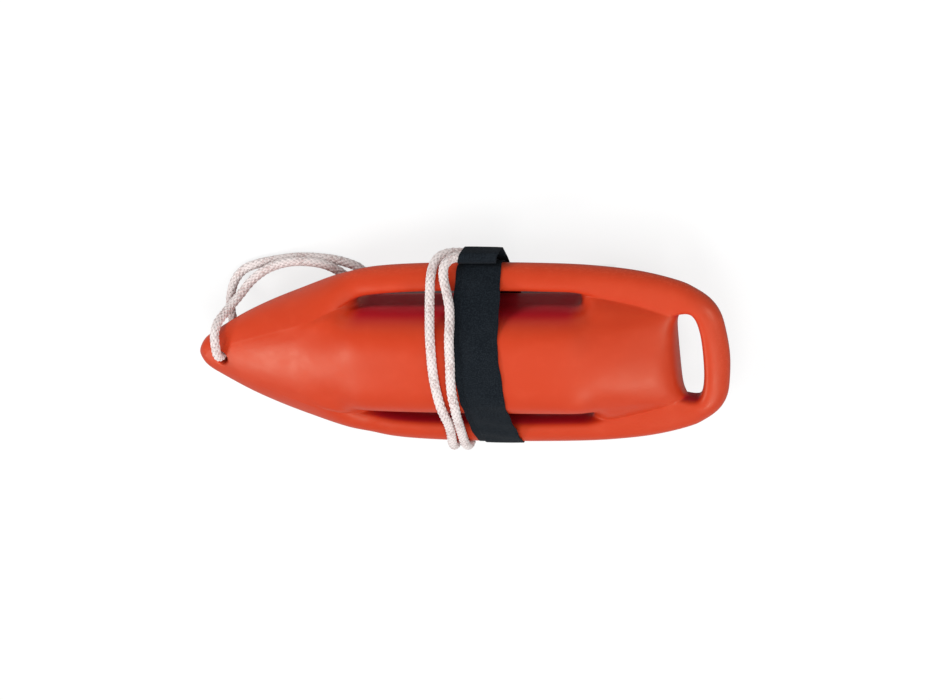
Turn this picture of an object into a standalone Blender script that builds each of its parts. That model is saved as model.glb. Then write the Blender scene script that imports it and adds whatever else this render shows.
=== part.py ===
"""A torpedo rescue buoy: a hollow moulded float with two finger slots, a rear grip, a tow line and a strap.

Metres, +Z up. The nose points to -X and the rear grip to +X. The float lies flat on the strap that is
wound round its middle, and the origin is on the strap's flat underside, in the middle of that patch.
"""

import math

import bmesh
import bpy
import numpy as np
from mathutils import Matrix, Vector
from mathutils.bvhtree import BVHTree

# The moulded float
BODY_LENGTH = 0.720
BODY_WIDTH = 0.2552
BODY_THICKNESS = 0.140
WALL = 0.0035

# The plan outline from the nose tip to the middle of the tail: (share of length, share of half width)
OUTLINE = (
    (0.0, 0.0), (0.0066, 0.095), (0.0190, 0.177), (0.0430, 0.262), (0.0890, 0.410), (0.1460, 0.563),
    (0.2300, 0.743), (0.2875, 0.859), (0.3460, 0.945), (0.4060, 0.984), (0.5170, 1.0), (0.6280, 0.995),
    (0.7390, 0.973), (0.8280, 0.922), (0.8820, 0.860), (0.9240, 0.786), (0.9580, 0.676), (0.9810, 0.546),
    (0.9935, 0.366), (1.0, 0.0),
)
# The height of the crown over the parting plane, along the axis: (share of length, share of half thickness)
CROWN_LINE = (
    (0.0, 0.0), (0.0090, 0.130), (0.0200, 0.190), (0.0500, 0.293), (0.1000, 0.450), (0.1700, 0.630),
    (0.2400, 0.775), (0.3100, 0.885), (0.3500, 0.934), (0.4000, 0.972), (0.4700, 0.997), (0.5300, 1.0),
    (0.6500, 1.0), (0.7000, 0.985), (0.7450, 0.935), (0.7900, 0.845), (0.8350, 0.705), (0.8700, 0.555),
    (0.9000, 0.380),
)

# The rail that runs round the float
RAIL_WIDTH = 0.035
RAIL_THICKNESS = 0.038
TAIL_BAR_WIDTH = 0.0334
TAIL_BAR_THICKNESS = 0.0334
TAIL_CORNER_WIDTH = 0.044
TAIL_CORNER_LENGTH = 0.020
TAIL_BAR_ROUND = 0.008
NOSE_RIM_WIDTH = 0.014
SHOULDER_WIDTH = 0.032
SHOULDER_START = 0.4
SHOULDER_END = 0.7
WEB_THICKNESS = 0.031

# The finger slots between the rails and the crown, and the grip slot at the tail
SLOT_START = 0.238
SLOT_LENGTH = 0.295
CROWN_WIDTH = 0.140
CROWN_TAIL_WIDTH = 0.112
CROWN_TO_RAIL = 0.010
TAIL_SLOT_WIDTH = 0.0320
TAIL_SLOT_LENGTH = 0.119
TAIL_SLOT_LIP_ROUNDNESS = 3.6
TAIL_SLOT_BAR_ROUNDNESS = 2.5

# How the cage is divided
COLUMNS = 5
NOSE_ROWS = (0.150, 0.235, 0.375, 0.550, 0.720, 0.890)
SLOT_ROWS = (0.0, 0.10, 0.28, 0.50, 0.72, 0.90, 1.0)
TAIL_ROWS = (0.19, 0.46, 0.72, 0.94)
OPEN_SECTION = ((0.0, 1.0), (0.43, 0.98), (0.80, 0.82), (0.985, 0.46), (1.0, 0.0))
CLOSED_SECTION = ((0.0, 1.0), (0.43, 0.92), (0.78, 0.68), (0.96, 0.46), (1.0, 0.22))
RING_REACH = (1.0, 0.84, 0.30, 0.0)
RING_HEIGHT = (0.0, 0.95, 0.80, 0.0)
BLEND_START = 0.72
BLEND_END = 0.99
LIMIT_PASSES = 8

# The rope hole through the solid nose
ROPE_HOLE_FROM_NOSE = 0.0386
ROPE_HOLE_DIAMETER = 0.0175
ROPE_HOLE_FLARE = 0.003
SOLID_NOSE = 0.062

# The vent on the underside, through which the float was blown
VENT_FROM_NOSE = 0.504
VENT_SEAT_DEPTH = 0.0012
VENT_FLANGE_DIAMETER = 0.024
VENT_FLANGE_THICKNESS = 0.0015
VENT_BARREL_DIAMETER = 0.018
VENT_BARREL_LENGTH = 0.012
VENT_BORE = 0.0104
VENT_SHANK_LENGTH = 0.012
VENT_SHANK_CLEARANCE = 0.0004
VENT_HEAD_DIAMETER = 0.017
VENT_HEAD_THICKNESS = 0.0018
VENT_HEAD_CHAMFER = 0.0006
VENT_TIP_CHAMFER = 0.0010
VENT_SLOT_WIDTH = 0.0016
VENT_SLOT_DEPTH = 0.0010
VENT_RING_DIAMETER = 0.0128
VENT_RING_THICKNESS = 0.0020
VENT_RING_SIDES = 12
FIT_GAP = 0.0003

# How far a cutter reaches past the surface that it cuts
HOLE_OVERSHOOT = 0.010
VENT_OVERSHOOT = 0.020
SLOT_OVERSHOOT = 0.0035

# The shoulder strap: a closed loop of webbing, pressed flat to two layers and wound round the float
STRAP_WIDTH = 0.051
STRAP_THICKNESS = 0.0014
STRAP_GAP = 0.0003
STRAP_FROM_NOSE = 0.4090
STRAP_LAYER_SHIFT = 0.0045
STRAP_INNER_END = math.radians(-48)
SLEEVE_ANGLE = math.radians(4)
WRAP_STEPS = 54
LIFT_START = math.radians(280)
LIFT_END = math.radians(303)

# The tow line and the sleeve that joins its two ends inside the strap's fold
ROPE_DIAMETER = 0.0115
ROPE_CLEARANCE = 0.0005
SLEEVE_LENGTH = 0.030
SLEEVE_HALF_WIDTH = 0.0123
SLEEVE_RADIUS = 0.0062
SLEEVE_CORNERS = 8
ROUTE_STEPS = 3
LEAST_GAP = 0.0004
FLOOR_CLEARANCE = 0.0003

# The line's middle between its two straight ends at the sleeve, in millimetres, in the float's own frame,
# laid on a float of this length, width and thickness
ROUTE_LAID_ON = (720, 255.2, 140)
ROPE_ROUTE = (
    # from the sleeve over the far rail and the crown to the near rail
    (378.0, 139.6, 9.8), (369.6, 136.0, 17.5), (366.3, 129.0, 23.5), (367.0, 117.0, 29.8), (371.0, 104.0, 37.5),
    (375.5, 88.0, 48.0), (377.0, 70.0, 60.0), (377.0, 58.0, 68.5), (376.8, 42.0, 75.0), (375.5, 20.0, 76.5),
    (373.5, 0.0, 76.8), (372.5, -22.0, 76.5), (373.5, -42.0, 75.0), (372.0, -58.0, 68.5), (370.4, -70.0, 60.0),
    (368.0, -88.0, 47.5), (365.5, -106.0, 35.0), (363.8, -120.0, 24.5), (362.8, -130.0, 12.0),
    (362.5, -133.8, 0.0), (361.5, -131.5, -12.5),
    # down beside the crown and across under the float
    (358.5, -125.0, -25.0), (351.5, -117.0, -38.0), (339.0, -109.0, -51.5), (319.0, -100.5, -62.0),
    (290.0, -88.0, -66.7), (258.0, -66.0, -67.5), (230.0, -30.0, -67.5), (217.0, 10.0, -67.5),
    # out on the far side and along the floor to the nose
    (219.0, 46.0, -67.5), (227.0, 70.0, -67.5), (221.5, 89.0, -67.5), (203.0, 99.0, -67.5),
    (176.0, 105.5, -67.5), (136.0, 108.0, -67.5), (98.0, 103.5, -67.5), (72.0, 98.0, -67.0),
    (53.5, 90.5, -65.0), (41.0, 77.0, -59.5), (35.5, 60.5, -52.0), (35.5, 46.0, -44.0), (38.0, 33.0, -37.5),
    (39.0, 20.4, -34.5), (38.0, 10.9, -31.3), (37.2, 4.0, -24.5),
    # up through the nose and back round it
    (37.0, 1.4, -15.0), (37.0, 1.4, 0.0), (37.0, 1.4, 15.0), (37.2, 4.0, 24.5), (38.0, 10.9, 31.3),
    (39.0, 20.4, 34.0), (38.5, 31.0, 32.0), (37.6, 41.0, 24.5), (38.0, 48.0, 11.0), (41.5, 53.0, -5.0),
    (47.5, 59.0, -21.0), (57.0, 68.5, -35.0), (71.0, 83.0, -46.5), (93.0, 97.0, -53.0), (118.0, 104.8, -55.2),
    (141.0, 107.0, -55.2),
    # the second strand's way back under the float and over it
    (168.0, 104.3, -55.2), (188.0, 95.5, -56.5), (201.0, 81.0, -61.5), (205.0, 63.0, -67.0),
    (202.0, 40.0, -67.5), (199.0, 10.0, -67.5), (210.0, -35.0, -67.5), (240.0, -74.0, -67.5),
    (271.0, -95.5, -65.5), (298.0, -106.0, -60.0), (318.5, -113.5, -50.0), (331.5, -121.0, -38.0),
    (339.5, -127.5, -25.0), (342.5, -131.8, -12.5), (343.5, -133.8, 0.0), (344.3, -130.0, 12.0),
    (346.5, -120.0, 24.5), (350.0, -106.0, 35.0), (353.7, -88.0, 47.5), (355.8, -70.0, 60.0),
    (356.0, -58.0, 68.5), (354.8, -42.0, 75.0), (352.6, -22.0, 76.5), (351.3, 0.0, 76.8), (351.4, 20.0, 76.5),
    (352.2, 42.0, 75.0), (351.4, 58.0, 68.5), (350.4, 70.0, 60.0), (349.2, 88.0, 47.5), (348.3, 104.0, 35.5),
    (348.0, 118.0, 24.5), (349.5, 129.0, 14.0), (354.5, 136.5, 3.5), (363.0, 139.0, -3.0), (374.0, 139.8, -5.2),
)


def catmull_rom(points, steps):
    """A smooth polyline through the points, with this many steps between neighbours."""
    points = [np.array(p, float) for p in points]
    ends = [2 * points[0] - points[1], *points, 2 * points[-1] - points[-2]]
    curve = []
    for a, b, c, d in zip(ends, ends[1:], ends[2:], ends[3:]):
        for k in range(steps):
            t = k / steps
            curve.append(0.5 * (2 * b + (c - a) * t + (2 * a - 5 * b + 4 * c - d) * t**2
                                + (3 * b - a - 3 * c + d) * t**3))
    curve.append(points[-1])
    return np.array(curve)


class Outline:
    """The plan outline on the +Y side, by distance along it from the nose tip."""

    def __init__(self):
        scale = (BODY_LENGTH, BODY_WIDTH / 2)
        points = [np.array(p) * scale for p in OUTLINE]
        mirrored = [points[1] * (1, -1), *points, points[-2] * (1, -1)]
        steps = 12
        self.line = catmull_rom(mirrored, steps)[steps:-steps]
        along = np.gradient(self.line, axis=0)
        along /= np.linalg.norm(along, axis=1)[:, None]
        self.normal = np.stack([-along[:, 1], along[:, 0]], 1)
        legs = np.linalg.norm(np.diff(self.line, axis=0), axis=1)
        self.distance = np.concatenate([[0.0], np.cumsum(legs)])
        self.length = self.distance[-1]
        self.inner = self.line - self.normal * self.rail_width(self.line[:, 0])[:, None]

    def rail_width(self, x):
        """Distance from the outline to the rail's inner side, by distance from the nose."""
        slot_end = SLOT_START + SLOT_LENGTH
        corner = BODY_LENGTH - TAIL_BAR_WIDTH - TAIL_CORNER_LENGTH
        places = [0.0, SHOULDER_START * SLOT_START, SHOULDER_END * SLOT_START, slot_end, corner,
                  BODY_LENGTH - TAIL_BAR_ROUND, BODY_LENGTH]
        widths = [NOSE_RIM_WIDTH, SHOULDER_WIDTH, RAIL_WIDTH, RAIL_WIDTH, TAIL_CORNER_WIDTH, TAIL_BAR_WIDTH,
                  TAIL_BAR_WIDTH]
        return np.interp(x, places, widths)

    def rail_thickness(self, x):
        slot_end = SLOT_START + SLOT_LENGTH
        return np.interp(x, [slot_end, BODY_LENGTH], [RAIL_THICKNESS, TAIL_BAR_THICKNESS])

    def at(self, distance):
        """The outline's point, its outward normal and the rail's width and thickness there."""
        point = np.array([np.interp(distance, self.distance, self.line[:, k]) for k in (0, 1)])
        normal = np.array([np.interp(distance, self.distance, self.normal[:, k]) for k in (0, 1)])
        return point, normal, self.rail_width(point[0]), self.rail_thickness(point[0])

    def where_inner_x_is(self, x):
        """The distance along the outline at which the rail's inner side is this far from the nose."""
        rising = np.maximum.accumulate(self.inner[:, 0])
        return float(np.interp(x, rising, self.distance))

    def half_width(self, x):
        return float(np.interp(x, self.line[:, 0], self.line[:, 1]))


def crown_height(x):
    """Half thickness of the float on its axis, this far from the nose."""
    line = catmull_rom(CROWN_LINE, 12) * (BODY_LENGTH, BODY_THICKNESS / 2)
    return float(np.interp(x, line[:, 0], line[:, 1]))


def cage_rows():
    """Distance of each row of the cage from the nose, and the rows that bound the slots."""
    slot_end = SLOT_START + SLOT_LENGTH
    lip = BODY_LENGTH - TAIL_BAR_WIDTH - TAIL_SLOT_WIDTH
    rows = [NOSE_RIM_WIDTH] + [share * SLOT_START for share in NOSE_ROWS]
    first = len(rows)
    rows += [SLOT_START + share * SLOT_LENGTH for share in SLOT_ROWS]
    last = len(rows) - 1
    rows += [slot_end + share * (lip - slot_end) for share in TAIL_ROWS]
    rows += [lip, BODY_LENGTH - TAIL_BAR_WIDTH]
    return rows, first, last


class Cage:
    """Where each vertex of the float's upper half goes, by row, column and ring."""

    def __init__(self):
        self.outline = Outline()
        self.rows, self.slot_first, self.slot_last = cage_rows()
        self.tail = len(self.rows) - 1
        self.first_side = self.outline.where_inner_x_is(self.rows[1])
        self.last_side = self.outline.where_inner_x_is(self.rows[self.tail - 2])

    def around(self, row, column):
        """Distance along the outline that belongs to a vertex on the edge of the grid."""
        if row == 0:
            return self.first_side * column / (COLUMNS + 1)
        if row > self.tail - 2:
            steps = (row - self.tail + 2) + (COLUMNS - column)
            return self.last_side + (self.outline.length - self.last_side) * steps / (COLUMNS + 2)
        return self.outline.where_inner_x_is(self.rows[row])

    def grip_slot(self, row, column):
        """The edge of the tail's slot: from the middle of the crown's end round to the tail bar."""
        turn = math.pi / 2 * column / (COLUMNS + 0.5)
        side, roundness = (-1, TAIL_SLOT_LIP_ROUNDNESS) if row == self.tail - 1 else (1, TAIL_SLOT_BAR_ROUNDNESS)
        middle = self.rows[self.tail] - TAIL_SLOT_WIDTH / 2
        x = middle + side * TAIL_SLOT_WIDTH / 2 * math.cos(turn) ** (2 / roundness)
        return np.array([x, TAIL_SLOT_LENGTH / 2 * math.sin(turn) ** (2 / roundness)])

    def open_here(self, row):
        """Whether the rail's inner side is the wall of a slot at this row."""
        return self.slot_first <= row <= self.slot_last or row >= self.tail - 1

    def ring_place(self, row, column, ring):
        point, normal, width, thickness = self.outline.at(self.around(row, column))
        if ring == len(RING_REACH) - 1:
            return Vector((point[0], point[1], 0.0))
        inner = point - normal * width
        if row >= self.tail - 1:
            inner = self.grip_slot(row, column)
        flat = point + (inner - point) * RING_REACH[ring]
        height = thickness / 2 * RING_HEIGHT[ring]
        if ring == 0 and not self.open_here(row):
            height = WEB_THICKNESS / 2
        return self.with_nose(flat, height)

    def with_nose(self, flat, height):
        """The point with its height blended into the cone of the nose."""
        x, y = flat
        blend = np.clip((x / SLOT_START - BLEND_START) / (BLEND_END - BLEND_START), 0, 1)
        blend = blend * blend * (3 - 2 * blend)
        if blend >= 1:
            return Vector((x, y, height))
        reach = min(1.0, abs(y) / max(self.outline.half_width(x), 1e-6))
        cone = crown_height(x) * math.sqrt(max(0.0, 1 - reach**2))
        return Vector((x, y, cone + (height - cone) * blend))

    def crown_half_width(self, x, rail):
        """Half width of the crown this far from the nose, inside a rail whose inner side is there."""
        narrowing = [self.rows[self.slot_last], self.rows[self.tail - 1]]
        half = np.interp(x, narrowing, [CROWN_WIDTH / 2, CROWN_TAIL_WIDTH / 2])
        return min(half, rail - CROWN_TO_RAIL)

    def place(self, row, column, ring):
        side = -1 if column < 0 else 1
        column = abs(column)
        if ring or column == COLUMNS or row in (0, self.tail):
            spot = self.ring_place(row, column, ring)
            spot.y *= side
            return spot
        x = self.rows[row]
        if row == self.tail - 1:
            x, y = self.grip_slot(row, column)
            return Vector((x, side * y, 0.0))
        inner = self.ring_place(row, COLUMNS, 0)
        height = crown_height(x)
        half = self.crown_half_width(x, inner.y)
        if self.slot_first <= row <= self.slot_last:
            y = half * OPEN_SECTION[column][0]
            z = height * OPEN_SECTION[column][1]
        else:
            y = half * CLOSED_SECTION[column][0]
            if column == COLUMNS - 1:
                y = (half + inner.y) / 2
            web = WEB_THICKNESS / 2
            z = web + (height - web) * CLOSED_SECTION[column][1]
        spot = self.with_nose(np.array([x, y]), z)
        spot.x += (inner.x - x) * column / COLUMNS
        spot.y *= side
        return spot


def move_onto_limit(bm, passes):
    """Moves the cage's points so that its smooth surface passes through where they stood."""
    bm.verts.ensure_lookup_table()
    bm.verts.index_update()
    wanted = np.array([v.co for v in bm.verts])
    points = wanted.copy()
    near, far, count = [], [], []
    for v in bm.verts:
        near.append([e.other_vert(v).index for e in v.link_edges])
        far.append([next(w.index for w in f.verts if w is not v and not any(w in e.verts for e in v.link_edges))
                    for f in v.link_faces])
        count.append(len(v.link_faces))
    for _ in range(passes):
        limit = np.empty_like(points)
        for k, n in enumerate(count):
            limit[k] = (n * n * points[k] + 4 * points[near[k]].sum(0) + points[far[k]].sum(0)) / (n * (n + 5))
        points += wanted - limit
    for v, co in zip(bm.verts, points):
        v.co = co
    return wanted


def build_cage():
    """The float's closed control cage, in the float's own frame: nose tip at x = 0, parting plane z = 0."""
    cage = Cage()
    bm = bmesh.new()
    bmesh.ops.create_grid(bm, x_segments=cage.tail, y_segments=2 * COLUMNS, size=1.0)
    spot = {}
    for v in bm.verts:
        row = round((v.co.x + 1) / 2 * cage.tail)
        column = round(v.co.y * COLUMNS)
        spot[v] = (row, column, 0)
    rim = [e for e in bm.edges if e.is_boundary]
    gone = []
    for face in bm.faces:
        rows = sorted({spot[v][0] for v in face.verts})
        columns = sorted({abs(spot[v][1]) for v in face.verts})
        in_side_slot = columns[-1] == COLUMNS and rows[0] >= cage.slot_first and rows[-1] <= cage.slot_last
        if in_side_slot or rows[-1] == cage.tail:
            gone.append(face)
    for ring in range(1, len(RING_REACH)):
        made = bmesh.ops.extrude_edge_only(bm, edges=rim)["geom"]
        fresh = [g for g in made if isinstance(g, bmesh.types.BMVert)]
        old = {(round(v.co.x, 5), round(v.co.y, 5)): place for v, place in spot.items()}
        for v in fresh:
            row, column, _ = old[(round(v.co.x, 5), round(v.co.y, 5))]
            spot[v] = (row, column, ring)
        rim = [g for g in made if isinstance(g, bmesh.types.BMEdge)
               and all(spot[v][2] == ring for v in g.verts)]
    bmesh.ops.delete(bm, geom=gone, context="FACES")
    for v, (row, column, ring) in spot.items():
        v.co = cage.place(row, column, ring)
    bmesh.ops.mirror(bm, geom=bm.verts[:] + bm.edges[:] + bm.faces[:], matrix=Matrix.Identity(4),
                     merge_dist=1e-5, axis="Z")
    bmesh.ops.recalc_face_normals(bm, faces=bm.faces[:])
    return bm


def clear_scene():
    for obj in list(bpy.data.objects):
        bpy.data.objects.remove(obj)


def object_of(name, bm):
    mesh = bpy.data.meshes.new(name)
    bmesh.ops.recalc_face_normals(bm, faces=bm.faces[:])
    bm.to_mesh(mesh)
    bm.free()
    obj = bpy.data.objects.new(name, mesh)
    bpy.context.scene.collection.objects.link(obj)
    return obj


def cutter_of(name, bm):
    cutter = object_of(name, bm)
    cutter.hide_render = True
    cutter.display_type = "WIRE"
    return cutter


def cut(obj, cutter):
    boolean = obj.modifiers.new(cutter.name, "BOOLEAN")
    boolean.operation = "DIFFERENCE"
    boolean.solver = "EXACT"
    boolean.object = cutter


def turned(bm, profile, segments=48):
    """A body of revolution about Z from a closed profile of (radius, height) points off the axis."""
    verts = [bm.verts.new((r, 0, z)) for r, z in profile]
    edges = [bm.edges.new((a, b)) for a, b in zip(verts, verts[1:] + verts[:1])]
    bmesh.ops.spin(bm, geom=verts + edges, axis=(0, 0, 1), cent=(0, 0, 0), steps=segments,
                   angle=2 * math.pi, use_merge=True)
    bmesh.ops.remove_doubles(bm, verts=bm.verts[:], dist=1e-6)


def build_hull():
    """The float: smooth outside, hollow behind its wall, with the rope hole and the vent's seat."""
    bm = build_cage()
    wanted = move_onto_limit(bm, LIMIT_PASSES)
    hollow = bm.copy()
    for v, co in zip(hollow.verts, wanted):
        v.co = co
    hollow.normal_update()
    inward = [v.normal * WALL for v in hollow.verts]
    for v, step in zip(hollow.verts, inward):
        v.co -= step
    cut_off = bmesh.ops.bisect_plane(hollow, geom=hollow.verts[:] + hollow.edges[:] + hollow.faces[:],
                                     plane_co=(SOLID_NOSE, 0, 0), plane_no=(-1, 0, 0), clear_outer=True)
    rim = [g for g in cut_off["geom_cut"] if isinstance(g, bmesh.types.BMEdge)]
    bmesh.ops.contextual_create(hollow, geom=rim)
    bmesh.ops.triangulate(hollow, faces=hollow.faces[:])

    hull = object_of("hull_shell", bm)
    smooth = hull.modifiers.new("smooth", "SUBSURF")
    smooth.levels = 1
    smooth.render_levels = 1
    cut(hull, cutter_of("hollow", hollow))

    hole = bmesh.new()
    radius = ROPE_HOLE_DIAMETER / 2
    flared = radius + ROPE_HOLE_FLARE + HOLE_OVERSHOOT
    half = crown_height(ROPE_HOLE_FROM_NOSE)
    outside = half + HOLE_OVERSHOOT
    turned(hole, [(0.0, outside), (flared, outside), (radius, half - ROPE_HOLE_FLARE),
                  (radius, ROPE_HOLE_FLARE - half), (flared, -outside), (0.0, -outside)])
    bmesh.ops.translate(hole, verts=hole.verts[:], vec=(ROPE_HOLE_FROM_NOSE, 0, 0))
    cut(hull, cutter_of("rope_hole", hole))

    vent = bmesh.new()
    flange = VENT_FLANGE_DIAMETER / 2 + FIT_GAP
    barrel = VENT_BARREL_DIAMETER / 2 + FIT_GAP
    turned(vent, [(0.0, -VENT_OVERSHOOT), (flange, -VENT_OVERSHOOT), (flange, 0.0), (barrel, 0.0),
                  (barrel, VENT_OVERSHOOT), (0.0, VENT_OVERSHOOT)])
    bmesh.ops.translate(vent, verts=vent.verts[:], vec=(VENT_FROM_NOSE, 0, vent_seat()))
    cut(hull, cutter_of("vent_hole", vent))
    return hull


def vent_seat():
    """Height of the flat seat of the vent, over the parting plane."""
    return VENT_SEAT_DEPTH - crown_height(VENT_FROM_NOSE)


def vent_ring_height():
    """Height of the sealing ring's middle over the seat; the vent looks down, so it is negative."""
    return -FIT_GAP - VENT_FLANGE_THICKNESS - FIT_GAP - VENT_RING_THICKNESS / 2


def build_vent():
    """The moulded-in insert, its sealing ring and its plug, about the seat's centre with -Z outward."""
    barrel = VENT_BARREL_DIAMETER / 2
    bore = VENT_BORE / 2
    flange_face = -FIT_GAP - VENT_FLANGE_THICKNESS
    bm = bmesh.new()
    turned(bm, [(bore, flange_face), (VENT_FLANGE_DIAMETER / 2, flange_face), (VENT_FLANGE_DIAMETER / 2, -FIT_GAP),
                (barrel, -FIT_GAP), (barrel, VENT_BARREL_LENGTH), (bore, VENT_BARREL_LENGTH)])
    insert = object_of("vent_insert", bm)

    bm = bmesh.new()
    tube = VENT_RING_THICKNESS / 2
    middle = vent_ring_height()
    section = [2 * math.pi * k / VENT_RING_SIDES for k in range(VENT_RING_SIDES)]
    turned(bm, [(VENT_RING_DIAMETER / 2 + tube * math.cos(a), middle + tube * math.sin(a)) for a in section])
    ring = object_of("vent_ring", bm)

    bm = bmesh.new()
    shank = bore - VENT_SHANK_CLEARANCE
    head = VENT_HEAD_DIAMETER / 2
    head_back = middle - tube - FIT_GAP
    head_front = head_back - VENT_HEAD_THICKNESS
    tip = flange_face + VENT_SHANK_LENGTH
    turned(bm, [(0.0, head_front), (head - VENT_HEAD_CHAMFER, head_front), (head, head_front + VENT_HEAD_CHAMFER),
                (head, head_back), (shank, head_back), (shank, tip - VENT_TIP_CHAMFER),
                (shank - VENT_TIP_CHAMFER, tip), (0.0, tip)])
    plug = object_of("vent_plug", bm)
    slot = bmesh.new()
    bmesh.ops.create_cube(slot, size=1.0)
    size = (VENT_HEAD_DIAMETER + SLOT_OVERSHOOT, VENT_SLOT_WIDTH, 2 * VENT_SLOT_DEPTH)
    bmesh.ops.scale(slot, verts=slot.verts[:], vec=size)
    bmesh.ops.translate(slot, verts=slot.verts[:], vec=(0, 0, head_front))
    slot_cutter = cutter_of("plug_slot", slot)
    cut(plug, slot_cutter)
    for obj in (insert, ring, plug, slot_cutter):
        obj.location = (VENT_FROM_NOSE, 0, vent_seat())
    return insert, ring, plug


def evaluated_tree(obj):
    """The finished surface of an object, for measuring distances to it, and its vertices."""
    bpy.context.view_layer.update()
    graph = bpy.context.evaluated_depsgraph_get()
    mesh = obj.evaluated_get(graph).to_mesh()
    verts = [v.co.copy() for v in mesh.vertices]
    tree = BVHTree.FromPolygons(verts, [p.vertices[:] for p in mesh.polygons])
    return tree, np.array(verts)


def direction(angle):
    """The unit direction at this angle in the YZ plane; 0 is +Y and a quarter turn is +Z."""
    return np.array([math.cos(angle), math.sin(angle)])


def crossing(first, second):
    """Where two lines meet; each is (unit normal, distance from the origin)."""
    (n1, d1), (n2, d2) = first, second
    det = n1[0] * n2[1] - n1[1] * n2[0]
    return np.array([d1 * n2[1] - d2 * n1[1], n1[0] * d2 - n2[0] * d1]) / det


def eased(value, start, end):
    """0 before start, 1 after end, and a soft step between."""
    share = np.clip((value - start) / (end - start), 0, 1)
    return share * share * (3 - 2 * share)


class Strap:
    """The wound strap's section across the float, as a closed chain of straight runs.

    Every run is a line whose normal points to the right of the way the webbing goes, with the shift of the
    webbing along the float there. The first layer goes once round the float and over its own start, folds
    back round the sleeve, and lies on itself back to the start.
    """

    def __init__(self, hull_verts):
        reach = STRAP_WIDTH / 2 + STRAP_LAYER_SHIFT
        self.points = hull_verts[np.abs(hull_verts[:, 0] - STRAP_FROM_NOSE) < reach][:, 1:]
        layer = STRAP_THICKNESS + STRAP_GAP
        self.lift = 2 * layer
        along = direction(SLEEVE_ANGLE + math.pi / 2)
        out = direction(SLEEVE_ANGLE)
        top_of_first = self.girth(SLEEVE_ANGLE) + self.lift + FIT_GAP + STRAP_THICKNESS
        foot = crossing((out, top_of_first), (along, self.contact(SLEEVE_ANGLE) @ along))
        self.sleeve_centre = foot + out * (STRAP_GAP + SLEEVE_RADIUS)
        self.sleeve_along = along
        self.runs = self.all_runs()

    def contact(self, angle):
        """The point of the float that lies farthest this way."""
        return self.points[np.argmax(self.points @ direction(angle))]

    def girth(self, angle):
        """How far the float reaches in this direction."""
        return float((self.points @ direction(angle)).max())

    def sleeve(self, angle):
        """How far the sleeve reaches in this direction."""
        way = direction(angle)
        half = SLEEVE_HALF_WIDTH - SLEEVE_RADIUS
        return float(self.sleeve_centre @ way + half * abs(self.sleeve_along @ way) + SLEEVE_RADIUS)

    def lifted(self, angle):
        """How much the second time round lies farther out, to clear the first."""
        return self.lift * eased(angle, LIFT_START, LIFT_END)

    def all_runs(self):
        end = SLEEVE_ANGLE + 2 * math.pi
        angles = np.linspace(STRAP_INNER_END, end, WRAP_STEPS)
        bottom = 1.5 * math.pi
        angles += bottom - angles[np.argmin(np.abs(angles - bottom))]
        angles[0] = STRAP_INNER_END
        angles[-1] = end
        inner = []
        for a in angles:
            reach = self.girth(a) + FIT_GAP + self.lifted(a) + STRAP_THICKNESS
            inner.append((direction(a), reach, -STRAP_LAYER_SHIFT))

        fold = []
        for share in (0.2, 0.4, 0.6, 0.8):
            turn = end + math.pi * (1 - share)
            shift = STRAP_LAYER_SHIFT * (2 * share - 1)
            fold.append((-direction(turn), -(self.sleeve(turn) + STRAP_GAP), shift))

        outer = []
        for a in angles[::-1]:
            base = self.girth(a) + FIT_GAP + self.lifted(a) + STRAP_THICKNESS + STRAP_GAP
            if a > LIFT_END:
                base = max(base, self.sleeve(a) + STRAP_GAP)
            outer.append((-direction(a), -base, STRAP_LAYER_SHIFT))

        start = crossing((direction(STRAP_INNER_END), inner[0][1] + STRAP_GAP / 2),
                         (direction(STRAP_INNER_END + math.pi / 2), self.contact(STRAP_INNER_END)
                          @ direction(STRAP_INNER_END + math.pi / 2)))
        hem = []
        for share in (0.25, 0.5, 0.75):
            turn = STRAP_INNER_END - math.pi * share
            way = direction(turn)
            hem.append((-way, -(start @ way + STRAP_GAP / 2), STRAP_LAYER_SHIFT * (1 - 2 * share)))
        return inner + fold + outer + hem

    def build(self):
        """The webbing: four vertices at every corner of the chain, joined all the way round."""
        bm = bmesh.new()
        stations = []
        for k, run in enumerate(self.runs):
            following = self.runs[(k + 1) % len(self.runs)]
            shift = (run[2] + following[2]) / 2
            right = crossing(run[:2], following[:2])
            left = crossing((run[0], run[1] - STRAP_THICKNESS), (following[0], following[1] - STRAP_THICKNESS))
            corners = []
            for (y, z), side in ((right, -1), (right, 1), (left, 1), (left, -1)):
                x = STRAP_FROM_NOSE + shift + side * STRAP_WIDTH / 2
                corners.append(bm.verts.new((x, y, z)))
            stations.append(corners)
        for a, b in zip(stations, stations[1:] + stations[:1]):
            for k in range(4):
                bm.faces.new((a[k], a[(k + 1) % 4], b[(k + 1) % 4], b[k]))
        return object_of("shoulder_strap", bm)

    def build_sleeve(self):
        """The sleeve on the rope's two ends: a flat bar with round sides, inside the strap's fold."""
        out = direction(SLEEVE_ANGLE)
        half = SLEEVE_HALF_WIDTH - SLEEVE_RADIUS
        outline = []
        for side in (1, -1):
            for k in range(SLEEVE_CORNERS + 1):
                turn = math.pi * (k / SLEEVE_CORNERS - 0.5)
                flat = self.sleeve_along * side * (half + SLEEVE_RADIUS * math.cos(turn))
                outline.append(self.sleeve_centre + flat + out * side * SLEEVE_RADIUS * math.sin(turn))
        start, end = sleeve_span()
        bm = bmesh.new()
        near = [bm.verts.new((start, y, z)) for y, z in outline]
        far = [bm.verts.new((end, y, z)) for y, z in outline]
        bm.faces.new(near)
        bm.faces.new(far)
        for k in range(len(outline)):
            bm.faces.new((near[k - 1], near[k], far[k], far[k - 1]))
        return object_of("line_sleeve", bm)

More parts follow.
